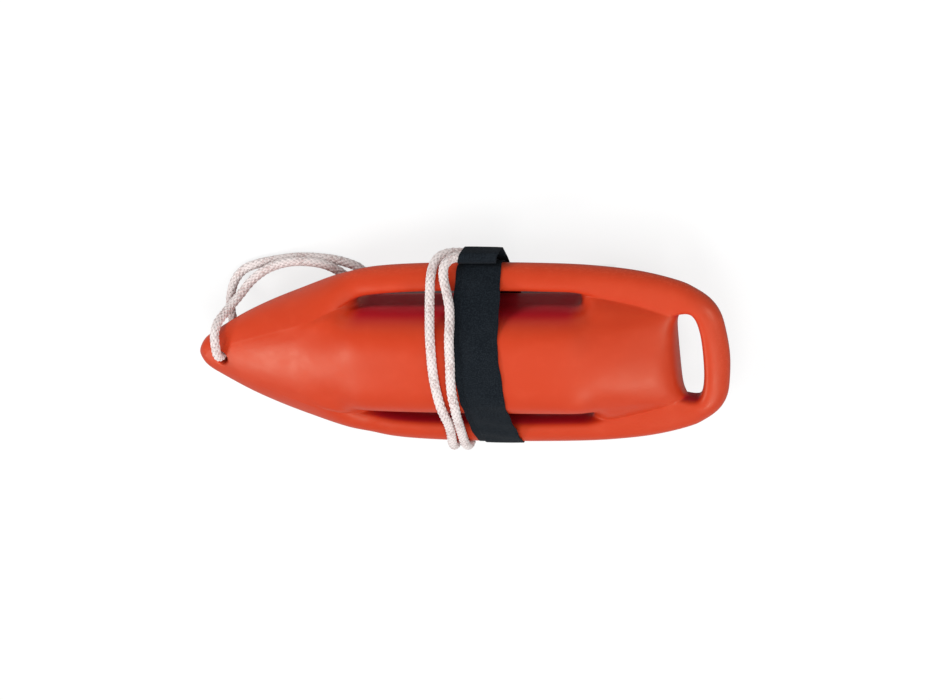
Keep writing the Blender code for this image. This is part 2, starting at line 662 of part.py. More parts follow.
    def line_ends(self):
        """Where the line's two strands butt on the sleeve, and where their straight ends begin."""
        face = sleeve_span()[0] - FIT_GAP
        ends = []
        for side in (1, -1):
            y, z = self.sleeve_centre + side * self.sleeve_along * (SLEEVE_HALF_WIDTH - SLEEVE_RADIUS)
            ends.append(((face, y, z), (face - ROPE_DIAMETER, y, z)))
        return ends


def sleeve_span():
    """Where the sleeve starts and ends along the float."""
    middle = STRAP_FROM_NOSE + STRAP_LAYER_SHIFT
    return middle - SLEEVE_LENGTH / 2, middle + SLEEVE_LENGTH / 2


def settle(points, tree, floor):
    """The line's points moved clear of the float and of the floor."""
    reach = ROPE_DIAMETER / 2 + ROPE_CLEARANCE
    settled = []
    for point in points:
        spot = Vector(point)
        spot.z = max(spot.z, floor + ROPE_DIAMETER / 2 + FLOOR_CLEARANCE)
        foot, normal, _, distance = tree.find_nearest(spot)
        inside = (spot - foot).dot(normal) < 0
        if inside or distance < reach:
            away = normal if inside else (spot - foot).normalized()
            spot = foot + away * reach
        settled.append(spot)
    return settled


def gap_to_itself(points):
    """The least distance between the line's surface and another stretch of it."""
    places = np.array(points)
    along = np.concatenate([[0.0], np.cumsum(np.linalg.norm(np.diff(places, axis=0), axis=1))])
    least = math.inf
    for k in range(len(places) - 1):
        far = along[:-1] > along[k] + 3 * ROPE_DIAMETER
        if not far.any():
            continue
        starts = places[:-1][far]
        runs = places[1:][far] - starts
        for share in (0.0, 0.5):
            spot = places[k] + (places[k + 1] - places[k]) * share
            t = np.clip(((spot - starts) * runs).sum(1) / (runs * runs).sum(1), 0, 1)
            least = min(least, np.linalg.norm(starts + runs * t[:, None] - spot, axis=1).min())
    return least - ROPE_DIAMETER, along[-1]


def build_tow_line(tree, floor, ends):
    """The tow line: one rope through the nose, with both ends at the sleeve."""
    (first, after_first), (last, before_last) = ends
    scale = np.array((BODY_LENGTH, BODY_WIDTH, BODY_THICKNESS)) / ROUTE_LAID_ON
    route = [first, after_first, *np.array(ROPE_ROUTE) * scale, before_last, last]
    points = settle(catmull_rom(route, ROUTE_STEPS), tree, floor)
    gap, length = gap_to_itself(points)
    print(f"tow line: {length:.3f} m, {len(points)} points, least gap to itself {1000 * gap:.2f} mm")
    if gap < LEAST_GAP:
        raise ValueError("the tow line touches itself")
    curve = bpy.data.curves.new("tow_line", "CURVE")
    curve.dimensions = "3D"
    curve.bevel_depth = ROPE_DIAMETER / 2
    curve.bevel_resolution = 2
    curve.use_fill_caps = True
    spline = curve.splines.new("POLY")
    spline.points.add(len(points) - 1)
    for place, spot in zip(spline.points, points):
        place.co = (*spot, 1)
    obj = bpy.data.objects.new("tow_line", curve)
    bpy.context.scene.collection.objects.link(obj)
    return obj


def give_material(obj, name, colour, roughness):
    material = bpy.data.materials.new(name)
    material.use_nodes = True
    shader = material.node_tree.nodes["Principled BSDF"]
    shader.inputs["Base Color"].default_value = (*colour, 1)
    shader.inputs["Roughness"].default_value = roughness
    obj.data.materials.append(material)


def main():
    clear_scene()
    hull = build_hull()
    insert, ring, plug = build_vent()
    tree, hull_verts = evaluated_tree(hull)
    strap = Strap(hull_verts)
    webbing = strap.build()
    sleeve = strap.build_sleeve()
    heights = [v.co.z for v in webbing.data.vertices]
    floor = min(heights)
    flat = [v.co.y for v in webbing.data.vertices if v.co.z < floor + STRAP_GAP / 100]
    print(f"the strap's flat underside is {1000 * (max(flat) - min(flat)):.1f} mm across the float")
    line = build_tow_line(tree, floor, strap.line_ends())

    give_material(hull, "float_orange", (0.62, 0.07, 0.03), 0.5)
    give_material(insert, "insert_black", (0.03, 0.03, 0.03), 0.4)
    give_material(ring, "ring_black", (0.02, 0.02, 0.02), 0.6)
    give_material(plug, "plug_grey", (0.25, 0.25, 0.26), 0.45)
    give_material(webbing, "webbing_black", (0.015, 0.018, 0.022), 0.9)
    give_material(sleeve, "sleeve_black", (0.03, 0.03, 0.03), 0.7)
    give_material(line, "rope_white", (0.75, 0.73, 0.70), 0.85)
    for obj in (hull, insert, ring, plug, webbing, sleeve):
        obj.data.shade_smooth()
    for obj in (insert, ring, plug, webbing, sleeve):
        obj.data.set_sharp_from_angle(angle=math.radians(35))

    to_origin = Vector((STRAP_FROM_NOSE + STRAP_LAYER_SHIFT, 0, floor))
    for obj in bpy.data.objects:
        obj.location -= to_origin


main()
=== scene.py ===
# %% [markdown]
# # A rescue buoy
#
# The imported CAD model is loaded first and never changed. Every piece made here takes its place from it:
# the float's skin, the braided tow line and the webbing strap stand in for their plain CAD solids. The
# rope's sleeve and the parts of the vent keep their CAD meshes under new finishes. Lengths are in metres
# unless a name says otherwise, +Z is up, the nose points to -X, and +Y is the far side in the picture.

import math

import bmesh
import bpy
import numpy as np
from mathutils import Matrix, Vector
from mathutils.bvhtree import BVHTree


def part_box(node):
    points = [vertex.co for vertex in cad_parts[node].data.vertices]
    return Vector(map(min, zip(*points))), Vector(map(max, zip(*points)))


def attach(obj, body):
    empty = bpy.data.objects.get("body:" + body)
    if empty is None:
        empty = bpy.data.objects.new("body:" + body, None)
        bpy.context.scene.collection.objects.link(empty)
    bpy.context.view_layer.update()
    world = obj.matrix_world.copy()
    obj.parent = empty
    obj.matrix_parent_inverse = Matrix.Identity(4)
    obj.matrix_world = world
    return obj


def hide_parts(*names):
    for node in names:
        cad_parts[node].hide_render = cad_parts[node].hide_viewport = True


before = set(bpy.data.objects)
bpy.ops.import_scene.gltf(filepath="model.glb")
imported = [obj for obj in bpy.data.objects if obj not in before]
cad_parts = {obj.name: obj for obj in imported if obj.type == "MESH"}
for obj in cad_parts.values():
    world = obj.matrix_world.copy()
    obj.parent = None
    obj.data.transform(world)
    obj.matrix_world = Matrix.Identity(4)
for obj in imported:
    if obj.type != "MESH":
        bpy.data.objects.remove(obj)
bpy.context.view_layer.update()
low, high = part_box("hull_shell")
FROM_FLOAT = Vector((low[0], 0.0, (low[2] + high[2]) / 2))
print("float's own origin, at the nose tip on the parting plane:", [round(c, 4) for c in FROM_FLOAT])

# %% [markdown]
# ## Small helpers
#
# The outline, the crown, the rope and the strap are all smooth lines, so a few functions make such a line
# and measure along it. The others turn a bmesh into an object, move it from the float's own frame into the
# part's frame, and let it ride on a body. Keeping the place in the mesh means that every object can stay
# at the origin, which is where patterns on Object coordinates expect it.

# %% Curves and objects
def smooth_line(points, steps):
    """A smooth polyline through the points, with this many steps between neighbours."""
    points = [np.array(p, float) for p in points]
    ends = [2 * points[0] - points[1], *points, 2 * points[-1] - points[-2]]
    line = []
    for a, b, c, d in zip(ends, ends[1:], ends[2:], ends[3:]):
        for k in range(steps):
            t = k / steps
            line.append(0.5 * (2 * b + (c - a) * t + (2 * a - 5 * b + 4 * c - d) * t**2
                               + (3 * b - a - 3 * c + d) * t**3))
    line.append(points[-1])
    return np.array(line)


def ease(value, start, end):
    """0 before start, 1 after end, and a soft step between."""
    t = np.clip((value - start) / (end - start), 0.0, 1.0)
    return t * t * (3 - 2 * t)


def fade(value, start, end):
    """1 before start, 0 after end, and a soft step between."""
    return 1 - ease(value, start, end)


def distances_along(line):
    """How far along a polyline each of its points is."""
    return np.concatenate([[0.0], np.cumsum(np.linalg.norm(np.diff(line, axis=0), axis=1))])


def values_at(distance, run, rows):
    """The rows' values at a distance; run says how far along each of the rows is."""
    return np.stack([np.interp(distance, run, column) for column in rows.T], -1)


def unit(rows):
    """The rows, each one made 1 long."""
    return rows / np.linalg.norm(rows, axis=1)[:, None]


def scene_object(name, data):
    """A new object that shows these data."""
    obj = bpy.data.objects.new(name, data)
    bpy.context.scene.collection.objects.link(obj)
    return obj


def mesh_object(name, bm):
    """An object from a bmesh, which is freed."""
    mesh = bpy.data.meshes.new(name)
    bm.to_mesh(mesh)
    bm.free()
    return scene_object(name, mesh)


def surface(obj):
    """The object's surface in the float's own frame, for measuring distances to it, and its points."""
    points = [v.co - FROM_FLOAT for v in obj.data.vertices]
    return BVHTree.FromPolygons(points, [p.vertices[:] for p in obj.data.polygons]), np.array(points)


def apply_modifiers(obj):
    """Turns the object's modifiers into plain mesh."""
    bpy.context.view_layer.update()
    graph = bpy.context.evaluated_depsgraph_get()
    mesh = bpy.data.meshes.new_from_object(obj.evaluated_get(graph))
    obj.modifiers.clear()
    obj.data = mesh


def finish_piece(obj, body, finish, sharp_angle):
    """Moves the mesh into the part's frame, shades it smooth and gives it its body and its finish."""
    obj.data.transform(Matrix.Translation(FROM_FLOAT))
    obj.data.shade_smooth()
    obj.data.set_sharp_from_angle(angle=math.radians(sharp_angle))
    obj.data.materials.clear()
    obj.data.materials.append(finish)
    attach(obj, body)
    print(obj.name, len(obj.data.polygons), "faces")


# %% [markdown]
# ## The camera
#
# The photograph looks steeply down on the float through a long lens, and a little from its tail and from
# the side where the strap is folded. How far the slots' inner walls show gives two angles: the direction
# leans towards +X by one and towards +Y by the other. The roll puts the float's axis on its slant.

# %% Camera
LEAN_TO_TAIL = math.radians(18.5)
LEAN_TO_SIDE = math.radians(26.0)
ROLL = math.radians(-7.7)
CAMERA_DISTANCE = 3.0
VIEW_WIDTH = 1.209
SENSOR_WIDTH_MM = 36.0
AIM = FROM_FLOAT + Vector((0.3726, 0.004, 0.0))

towards = Vector((math.tan(LEAN_TO_TAIL), math.tan(LEAN_TO_SIDE), 1.0)).normalized()
level_up = (Vector((0, 1, 0)) - towards * towards.y).normalized()
level_right = level_up.cross(towards)
right = level_right * math.cos(ROLL) + level_up * math.sin(ROLL)
up = level_up * math.cos(ROLL) - level_right * math.sin(ROLL)
camera_data = bpy.data.cameras.new("camera")
camera_data.sensor_width = SENSOR_WIDTH_MM
camera_data.lens = SENSOR_WIDTH_MM * CAMERA_DISTANCE / VIEW_WIDTH
camera_data.clip_end = 100.0
camera = scene_object("camera", camera_data)
turn = Matrix((right, up, towards)).transposed()
camera.matrix_world = Matrix.Translation(AIM + towards * CAMERA_DISTANCE) @ turn.to_4x4()
bpy.context.scene.camera = camera
print("lens", round(camera_data.lens, 1), "mm")

# %% [markdown]
# ## The tow line's route
#
# The line is one soft braided rope. Both its ends are held in a sleeve in the strap's fold. From there both
# strands lie over the crown, go round the near rail, cross under the float, come out on the far side, lie in
# an arc beside it and meet in the hole in the nose. A rope has no shape of its own, so its route is a list of
# given points, drawn smooth, and pushed out wherever it would enter the float or the floor.

# %% Route
ROPE_DIAMETER = 0.0115
ROPE_CLEARANCE = 0.0005
ROUTE_STEPS = 3
ROPE_STEPS = 4
FLOOR_CLEARANCE = 0.0003
SLEEVE_GAP = 0.0003
SLEEVE_HALF_SPREAD = 0.0061
SLEEVE_ANGLE = math.radians(4)
# from the nose tip along the float, across it, and up from its parting plane
ROPE_ROUTE_MM = (
    # from the sleeve over the far rail and the crown to the near rail
    (378, 139.6, 9.8), (369.6, 136, 17.5), (366.3, 129, 23.5), (367, 117, 29.8), (371, 104, 37.5),
    (375.5, 88, 48), (377, 70, 60), (377, 58, 68.5), (376.8, 42, 75), (375.5, 20, 76.5), (373.5, 0, 76.8),
    (372.5, -22, 76.5), (373.5, -42, 75), (372, -58, 68.5), (370.4, -70, 60), (368, -88, 47.5),
    (365.5, -106, 35), (363.8, -120, 24.5), (362.8, -130, 12), (362.5, -133.8, 0), (361.5, -131.5, -12.5),
    # down beside the crown and across under the float
    (358.5, -125, -25), (351.5, -117, -38), (339, -109, -51.5), (319, -100.5, -62), (290, -88, -66.7),
    (258, -66, -67.5), (230, -30, -67.5), (217, 10, -67.5),
    # out on the far side and along the floor to the nose
    (219, 46, -67.5), (227, 70, -67.5), (221.5, 89, -67.5), (203, 99, -67.5), (176, 105.5, -67.5),
    (136, 108, -67.5), (98, 103.5, -67.5), (72, 98, -67), (53.5, 90.5, -65), (41, 77, -59.5),
    (35.5, 60.5, -52), (35.5, 46, -44), (38, 33, -37.5), (39, 20.4, -34.5), (38, 10.9, -31.3),
    (37.2, 4, -24.5),
    # up through the nose and back round it
    (37, 1.4, -15), (37, 1.4, 0), (37, 1.4, 15), (37.2, 4, 24.5), (38, 10.9, 31.3), (39, 20.4, 34),
    (38.5, 31, 32), (37.6, 41, 24.5), (38, 48, 11), (41.5, 53, -5), (47.5, 59, -21), (57, 68.5, -35),
    (71, 83, -46.5), (93, 97, -53), (118, 104.8, -55.2), (141, 107, -55.2),
    # the second strand's way back under the float and over it
    (168, 104.3, -55.2), (188, 95.5, -56.5), (201, 81, -61.5), (205, 63, -67), (202, 40, -67.5),
    (199, 10, -67.5), (210, -35, -67.5), (240, -74, -67.5), (271, -95.5, -65.5), (298, -106, -60),
    (318.5, -113.5, -50), (331.5, -121, -38), (339.5, -127.5, -25), (342.5, -131.8, -12.5),
    (343.5, -133.8, 0), (344.3, -130, 12), (346.5, -120, 24.5), (350, -106, 35), (353.7, -88, 47.5),
    (355.8, -70, 60), (356, -58, 68.5), (354.8, -42, 75), (352.6, -22, 76.5), (351.3, 0, 76.8),
    (351.4, 20, 76.5), (352.2, 42, 75), (351.4, 58, 68.5), (350.4, 70, 60), (349.2, 88, 47.5),
    (348.3, 104, 35.5), (348, 118, 24.5), (349.5, 129, 14), (354.5, 136.5, 3.5), (363, 139, -3),
    (374, 139.8, -5.2),
)


def settled(points, tree, floor):
    """The rope's points moved clear of the float and of the floor."""
    reach = ROPE_DIAMETER / 2 + ROPE_CLEARANCE
    clear = []
    for point in points:
        spot = Vector(point)
        spot.z = max(spot.z, floor + ROPE_DIAMETER / 2 + FLOOR_CLEARANCE)
        foot, normal, _, distance = tree.find_nearest(spot)
        inside = (spot - foot).dot(normal) < 0
        if inside or distance < reach:
            away = normal if inside else (spot - foot).normalized()
            spot = foot + away * reach
        clear.append(np.array(spot))
    return clear


hull_tree, hull_verts = surface(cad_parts["hull_shell"])
sleeve_verts = surface(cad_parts["line_sleeve"])[1]
sleeve_middle = (sleeve_verts.min(0) + sleeve_verts.max(0)) / 2
face_x = sleeve_verts[:, 0].min() - SLEEVE_GAP
flat_way = np.array((0.0, -math.sin(SLEEVE_ANGLE), math.cos(SLEEVE_ANGLE)))
first_end = np.array((face_x, *(sleeve_middle + SLEEVE_HALF_SPREAD * flat_way)[1:]))
last_end = np.array((face_x, *(sleeve_middle - SLEEVE_HALF_SPREAD * flat_way)[1:]))
straight = np.array((ROPE_DIAMETER, 0, 0))
route = [first_end, first_end - straight, *np.array(ROPE_ROUTE_MM) / 1000, last_end - straight, last_end]
rope_line = smooth_line(settled(smooth_line(route, ROUTE_STEPS), hull_tree, -FROM_FLOAT.z), ROPE_STEPS)

# %% [markdown]
# ## Finishes
#
# A finish is a small tree of nodes that ends in one Principled shader. This helper keeps the recipes short:
# it adds a node, sets its options, and takes either a plain value or another node's output for each input.
# Whatever is the same all over a surface is set on the shader itself.

# %% A helper for finishes
class Finish:
    """A material in the making."""

    def __init__(self, name, colour, roughness):
        self.material = bpy.data.materials.new(name)
        self.material.use_nodes = True
        self.tree = self.material.node_tree
        self.shader = self.tree.nodes["Principled BSDF"]
        self.shade({"Base Color": (*colour, 1.0), "Roughness": roughness})

    def shade(self, inputs):
        """Sets inputs of the shader, from a value or from a node's output."""
        self.feed(self.shader, inputs)

    def feed(self, node, inputs):
        for name, value in inputs.items():
            socket = node.inputs[name]
            if isinstance(value, bpy.types.NodeSocket):
                self.tree.links.new(value, socket)
            else:
                socket.default_value = value

    def add(self, kind, settings, inputs, output=0):
        """Adds a node and returns one of its outputs."""
        node = self.tree.nodes.new("ShaderNode" + kind)
        for name, value in settings.items():
            setattr(node, name, value)
        self.feed(node, inputs)
        return node.outputs[output]

    def place(self, stretch=(1, 1, 1)):
        """Object coordinates, scaled along each axis."""
        coordinates = self.add("TexCoord", {}, {}, "Object")
        return self.add("Mapping", {}, {"Vector": coordinates, "Scale": stretch})

    def split(self, vector):
        """The vector's X, Y and Z."""
        return self.add("SeparateXYZ", {}, {0: vector}).node.outputs[:]

    def uv(self, name):
        """The two values of a UV map."""
        return self.split(self.add("UVMap", {"uv_map": name}, {}))[:2]

    def attribute(self, name):
        """The value that the mesh carries under this name."""
        return self.add("Attribute", {"attribute_name": name}, {}, "Fac")

    def noise(self, place, scale, detail=2.0):
        """Cloudy values between 0 and 1, with this many clouds to the metre."""
        return self.add("TexNoise", {}, {"Vector": place, "Scale": scale, "Detail": detail}, "Fac")

    def maths(self, operation, *values, clamp=False):
        """One sum with one, two or three values."""
        return self.add("Math", {"operation": operation, "use_clamp": clamp}, dict(enumerate(values)))

    def spread(self, value, low, high, out_low=0.0, out_high=1.0):
        """Turns a value between low and high into one between out_low and out_high, and stops there."""
        return self.add("MapRange", {}, {0: value, 1: low, 2: high, 3: out_low, 4: out_high})

    def blend(self, share, first, second):
        """Mixes two colours, each a triple or an output. The node keeps its colours in sockets 6 and 7."""
        ends = [c if isinstance(c, bpy.types.NodeSocket) else (*c, 1.0) for c in (first, second)]
        return self.add("Mix", {"data_type": "RGBA"}, {0: share, 6: ends[0], 7: ends[1]}, 2)

    def bump(self, height, depth, under=None):
        """A bumpy normal: height runs from 0 to 1 over this depth in metres."""
        inputs = {"Height": height, "Distance": depth, "Strength": 1.0}
        if under is not None:
            inputs["Normal"] = under
        return self.add("Bump", {}, inputs)


# %% [markdown]
# ## Moulded plastic
#
# The float is blown from orange polyethylene. Its skin is satin: the mould's blasted wall leaves a grain of
# about half a millimetre, the cooling leaves long shallow waves, and handling leaves dull rubbed patches.
# Inside the slots hardly any light reaches it, and that shade is painted into the colour as a deep red with
# less gloss. A thin raised line runs round the float where the two halves of the mould met. Each of these is
# one layer of the colour or of the bump.

# %% Float finish
ORANGE = (0.64, 0.048, 0.011)
DARKER_CLOUDS = (0.57, 0.040, 0.009)
PALER_CLOUDS = (0.63, 0.050, 0.013)
DUSTY_ORANGE = (0.68, 0.070, 0.024)
WORN_ORANGE = (0.78, 0.11, 0.05)
# painted shade: the deep red that the shaded walls in the slots get instead of orange
SLOT_SHADE_RED = (0.46, 0.013, 0.023)
WARM_GLOSS = (1.0, 0.88, 0.66, 1.0)
GLOW_REACH = (0.006, 0.0015, 0.0006)
GRAIN_DEPTH = 0.00005
WAVE_DEPTH = 0.0004
PARTING_LINE_WIDTH = 0.0009
PARTING_LINE_HEIGHT = 0.00035


def moulded_orange():
    finish = Finish("moulded_orange", ORANGE, 0.45)
    place = finish.place()
    clouds = finish.noise(place, 7.0, 3.0)
    mottle = finish.noise(place, 55.0, 4.0)
    colour = finish.blend(clouds, DARKER_CLOUDS, PALER_CLOUDS)
    dusty = finish.spread(mottle, 0.52, 0.75, 0.0, 0.22)
    colour = finish.blend(dusty, colour, DUSTY_ORANGE)
    rubbed = finish.attribute("rubbed")
    scratches = finish.noise(finish.place((35.0, 260.0, 140.0)), 6.0, 3.0)
    worn = finish.maths("MULTIPLY", rubbed, finish.spread(scratches, 0.50, 0.66, 0.0, 0.6), clamp=True)
    colour = finish.blend(worn, colour, WORN_ORANGE)
    # painted shade: the slots' walls are blended towards the deep red by how much shade is painted there
    painted_slot_shade = finish.attribute("painted_slot_shade")
    colour = finish.blend(painted_slot_shade, colour, SLOT_SHADE_RED)
    roughness = finish.spread(mottle, 0.25, 0.75, 0.38, 0.50)
    roughness = finish.maths("ADD", roughness, finish.maths("MULTIPLY", worn, 0.25))
    grain = finish.noise(place, 1500.0, 1.0)
    normal = finish.bump(grain, GRAIN_DEPTH)
    waves = finish.noise(finish.place((0.6, 1.0, 1.0)), 26.0, 1.0)
    normal = finish.bump(waves, WAVE_DEPTH, normal)
    height = finish.split(finish.add("TexCoord", {}, {}, "Object"))[2]
    off_plane = finish.maths("ABSOLUTE", finish.maths("SUBTRACT", height, FROM_FLOAT.z))
    line = finish.spread(off_plane, 0.0, PARTING_LINE_WIDTH / 2, 1.0, 0.0)
    normal = finish.bump(line, PARTING_LINE_HEIGHT, normal)
    finish.shade({"Base Color": colour, "Roughness": roughness, "Normal": normal})
    finish.shade({"Subsurface Weight": 0.10, "Subsurface Radius": GLOW_REACH, "Subsurface Scale": 1.0})
    # the gloss drops where shade is painted
    gloss = finish.spread(painted_slot_shade, 0.0, 1.0, 0.7, 0.1)
    finish.shade({"Specular IOR Level": gloss, "Specular Tint": WARM_GLOSS})
    return finish.material


float_finish = moulded_orange()
print(float_finish.name, "has", len(float_finish.node_tree.nodes), "nodes")

# %% [markdown]
# ## The float's shape
#
# The float is one moulding: a pointed body whose crown swells above and below, a round rail outside it, two
# long finger slots between the crown and the rails, and a grip slot at the tail. It could be carved from a
# block with cutters, but a moulding has no sharp cuts. It is made the way a modeller would: a grid of a few
# quads is laid over the plan, its slots are left open, its rim is extruded down to the parting plane, the
# half is mirrored, and a subdivision surface rounds the cage. The cage's points are first moved so that the
# smooth surface passes through the places that were asked for.

# %% Sizes of the float
BODY_LENGTH = 0.720
BODY_WIDTH = 0.2552
BODY_THICKNESS = 0.140
RAIL_WIDTH = 0.035
RAIL_THICKNESS = 0.038
TAIL_BAR_WIDTH = 0.0334
TAIL_BAR_THICKNESS = 0.0334
TAIL_CORNER_WIDTH = 0.044
TAIL_CORNER_LENGTH = 0.020
TAIL_BAR_ROUND = 0.008
NOSE_RIM_WIDTH = 0.014
# the shoulder, as shares of the way from the nose tip to the slots
SHOULDER_START = 0.4
SHOULDER_END = 0.7
SHOULDER_WIDTH = 0.032
WEB_THICKNESS = 0.035
SLOT_START = 0.238
SLOT_LENGTH = 0.295
SLOT_END = SLOT_START + SLOT_LENGTH
CROWN_WIDTH = 0.140
CROWN_TAIL_WIDTH = 0.112
CROWN_TO_RAIL = 0.010
TAIL_SLOT_WIDTH = 0.0320
TAIL_SLOT_LENGTH = 0.119
TAIL_SLOT_LIP_ROUNDNESS = 3.6
TAIL_SLOT_BAR_ROUNDNESS = 2.5

# the plan's outline: (share of the length, share of the half width)
OUTLINE = (
    (0.0, 0.0), (0.0066, 0.095), (0.0190, 0.177), (0.0430, 0.262), (0.0890, 0.410), (0.1460, 0.563),
    (0.2300, 0.743), (0.2875, 0.859), (0.3460, 0.945), (0.4060, 0.984), (0.5170, 1.0), (0.6280, 0.995),
    (0.7390, 0.973), (0.8280, 0.922), (0.8820, 0.860), (0.9240, 0.786), (0.9580, 0.676), (0.9810, 0.546),
    (0.9935, 0.366), (1.0, 0.0),
)
# the crown's height on the axis: (share of the length, share of the half thickness)
CROWN_LINE = (
    (0.0, 0.0), (0.0090, 0.130), (0.0200, 0.190), (0.0500, 0.293), (0.1000, 0.450), (0.1700, 0.630),
    (0.2400, 0.775), (0.3100, 0.885), (0.3500, 0.934), (0.4000, 0.972), (0.4700, 0.997), (0.5300, 1.0),
    (0.6500, 1.0), (0.7000, 0.985), (0.7450, 0.935), (0.7900, 0.845), (0.8350, 0.705), (0.8700, 0.555),
    (0.9000, 0.380),
)
CURVE_STEPS = 12
CROWN_CURVE = smooth_line(CROWN_LINE, CURVE_STEPS) * (BODY_LENGTH, BODY_THICKNESS / 2)


def crown_height(x):
    """Half the float's thickness on its axis, this far from the nose."""
    return float(np.interp(x, CROWN_CURVE[:, 0], CROWN_CURVE[:, 1]))


print("crown", round(2000 * crown_height(0.40), 1), "mm thick at the middle")

# %% The plan's outline and the rail inside it
def rail_width(x):
    """The rail's width in plan, this far from the nose tip."""
    widths = (
        (0.0, NOSE_RIM_WIDTH),
        (SHOULDER_START * SLOT_START, SHOULDER_WIDTH),
        (SHOULDER_END * SLOT_START, RAIL_WIDTH),
        (SLOT_END, RAIL_WIDTH),
        (BODY_LENGTH - TAIL_BAR_WIDTH - TAIL_CORNER_LENGTH, TAIL_CORNER_WIDTH),
        (BODY_LENGTH - TAIL_BAR_ROUND, TAIL_BAR_WIDTH),
        (BODY_LENGTH, TAIL_BAR_WIDTH),
    )
    return np.interp(x, *zip(*widths))


class Outline:
    """The outline on the +Y side, by distance along it from the nose tip."""

    def __init__(self):
        points = [np.array(p) * (BODY_LENGTH, BODY_WIDTH / 2) for p in OUTLINE]
        mirrored = [points[1] * (1, -1), *points, points[-2] * (1, -1)]
        self.line = smooth_line(mirrored, CURVE_STEPS)[CURVE_STEPS:-CURVE_STEPS]
        along = unit(np.gradient(self.line, axis=0))
        self.normal = np.stack([-along[:, 1], along[:, 0]], 1)
        self.distance = distances_along(self.line)
        self.inner = self.line - self.normal * rail_width(self.line[:, 0])[:, None]

    def at(self, distance):
        """The point on the outline, and its outward normal."""
        return values_at(distance, self.distance, self.line), values_at(distance, self.distance, self.normal)

    def where_inner_x_is(self, x):
        """The distance at which the rail's inner side is this far from the nose tip."""
        rising = np.maximum.accumulate(self.inner[:, 0])
        return float(np.interp(x, rising, self.distance))

    def half_width(self, x):
        """Half the float's width, this far from the nose tip."""
        return np.interp(x, self.line[:, 0], self.line[:, 1])


outline = Outline()
print("outline", round(2 * outline.distance[-1], 3), "m round")

# %% The cage: where each of its points goes
COLUMNS = 5
# the rows, as shares of the way to the slots, along them, and from them to the lip of the grip slot
NOSE_ROWS = (0.150, 0.235, 0.375, 0.550, 0.720, 0.890)
SLOT_ROWS = (0.0, 0.10, 0.28, 0.50, 0.72, 0.90, 1.0)
TAIL_ROWS = (0.19, 0.46, 0.72, 0.94)
# half sections of the crown between the slots and before or behind them, and of the rail from inside out,
# as shares of the width and of the height
OPEN_SECTION = ((0.0, 1.0), (0.43, 0.98), (0.80, 0.82), (0.985, 0.46), (1.0, 0.0))
CLOSED_SECTION = ((0.0, 1.0), (0.43, 0.92), (0.78, 0.68), (0.96, 0.46), (1.0, 0.22))
RING_REACH = (1.0, 0.84, 0.30, 0.0)
RING_HEIGHT = (0.0, 0.95, 0.80, 0.0)
# where the nose's round cone turns into rails and crown, as shares of the way to the slots
BLEND_START = 0.79
BLEND_END = 1.0

lip = BODY_LENGTH - TAIL_BAR_WIDTH - TAIL_SLOT_WIDTH
rows = [NOSE_RIM_WIDTH] + [share * SLOT_START for share in NOSE_ROWS]
FIRST_SLOT_ROW = len(rows)
rows += [SLOT_START + share * SLOT_LENGTH for share in SLOT_ROWS]
LAST_SLOT_ROW = len(rows) - 1
rows += [SLOT_END + share * (lip - SLOT_END) for share in TAIL_ROWS]
rows += [lip, BODY_LENGTH - TAIL_BAR_WIDTH]
TAIL_ROW = len(rows) - 1
first_side = outline.where_inner_x_is(rows[1])
last_side = outline.where_inner_x_is(rows[TAIL_ROW - 2])


def distance_round(row, column):
    """How far along the outline a point on the edge of the grid belongs."""
    if row == 0:
        return first_side * column / (COLUMNS + 1)
    if row > TAIL_ROW - 2:
        steps = (row - TAIL_ROW + 2) + (COLUMNS - column)
        return last_side + (outline.distance[-1] - last_side) * steps / (COLUMNS + 2)
    return outline.where_inner_x_is(rows[row])


def grip_slot_edge(row, column):
    """The edge of the tail's slot, from its middle at the crown's end or at the bar round to its end."""
    turn = math.pi / 2 * column / (COLUMNS + 0.5)
    side, roundness = (-1, TAIL_SLOT_LIP_ROUNDNESS) if row == TAIL_ROW - 1 else (1, TAIL_SLOT_BAR_ROUNDNESS)
    x = rows[TAIL_ROW] - TAIL_SLOT_WIDTH / 2 + side * TAIL_SLOT_WIDTH / 2 * math.cos(turn) ** (2 / roundness)
    return np.array([x, TAIL_SLOT_LENGTH / 2 * math.sin(turn) ** (2 / roundness)])


def on_nose_cone(flat, height):
    """The point with its height blended into the nose's round cone."""
    x, y = flat
    share = float(ease(x / SLOT_START, BLEND_START, BLEND_END))
    if share >= 1:
        return Vector((x, y, height))
    reach = min(1.0, abs(y) / max(outline.half_width(x), 1e-6))
    cone = crown_height(x) * math.sqrt(max(0.0, 1 - reach**2))
    return Vector((x, y, cone + (height - cone) * share))


def rail_point(row, column, ring):
    """A point on the rail's section: ring 0 is its inner side and ring 3 the outline."""
    point, normal = outline.at(distance_round(row, column))
    if ring == len(RING_REACH) - 1:
        return Vector((point[0], point[1], 0.0))
    inner = point - normal * rail_width(point[0])
    if row >= TAIL_ROW - 1:
        inner = grip_slot_edge(row, column)
    thickness = np.interp(point[0], [SLOT_END, BODY_LENGTH], [RAIL_THICKNESS, TAIL_BAR_THICKNESS])
    height = thickness / 2 * RING_HEIGHT[ring]
    beside_slot = FIRST_SLOT_ROW <= row <= LAST_SLOT_ROW or row >= TAIL_ROW - 1
    if ring == 0 and not beside_slot:
        height = WEB_THICKNESS / 2
    return on_nose_cone(point + (inner - point) * RING_REACH[ring], height)


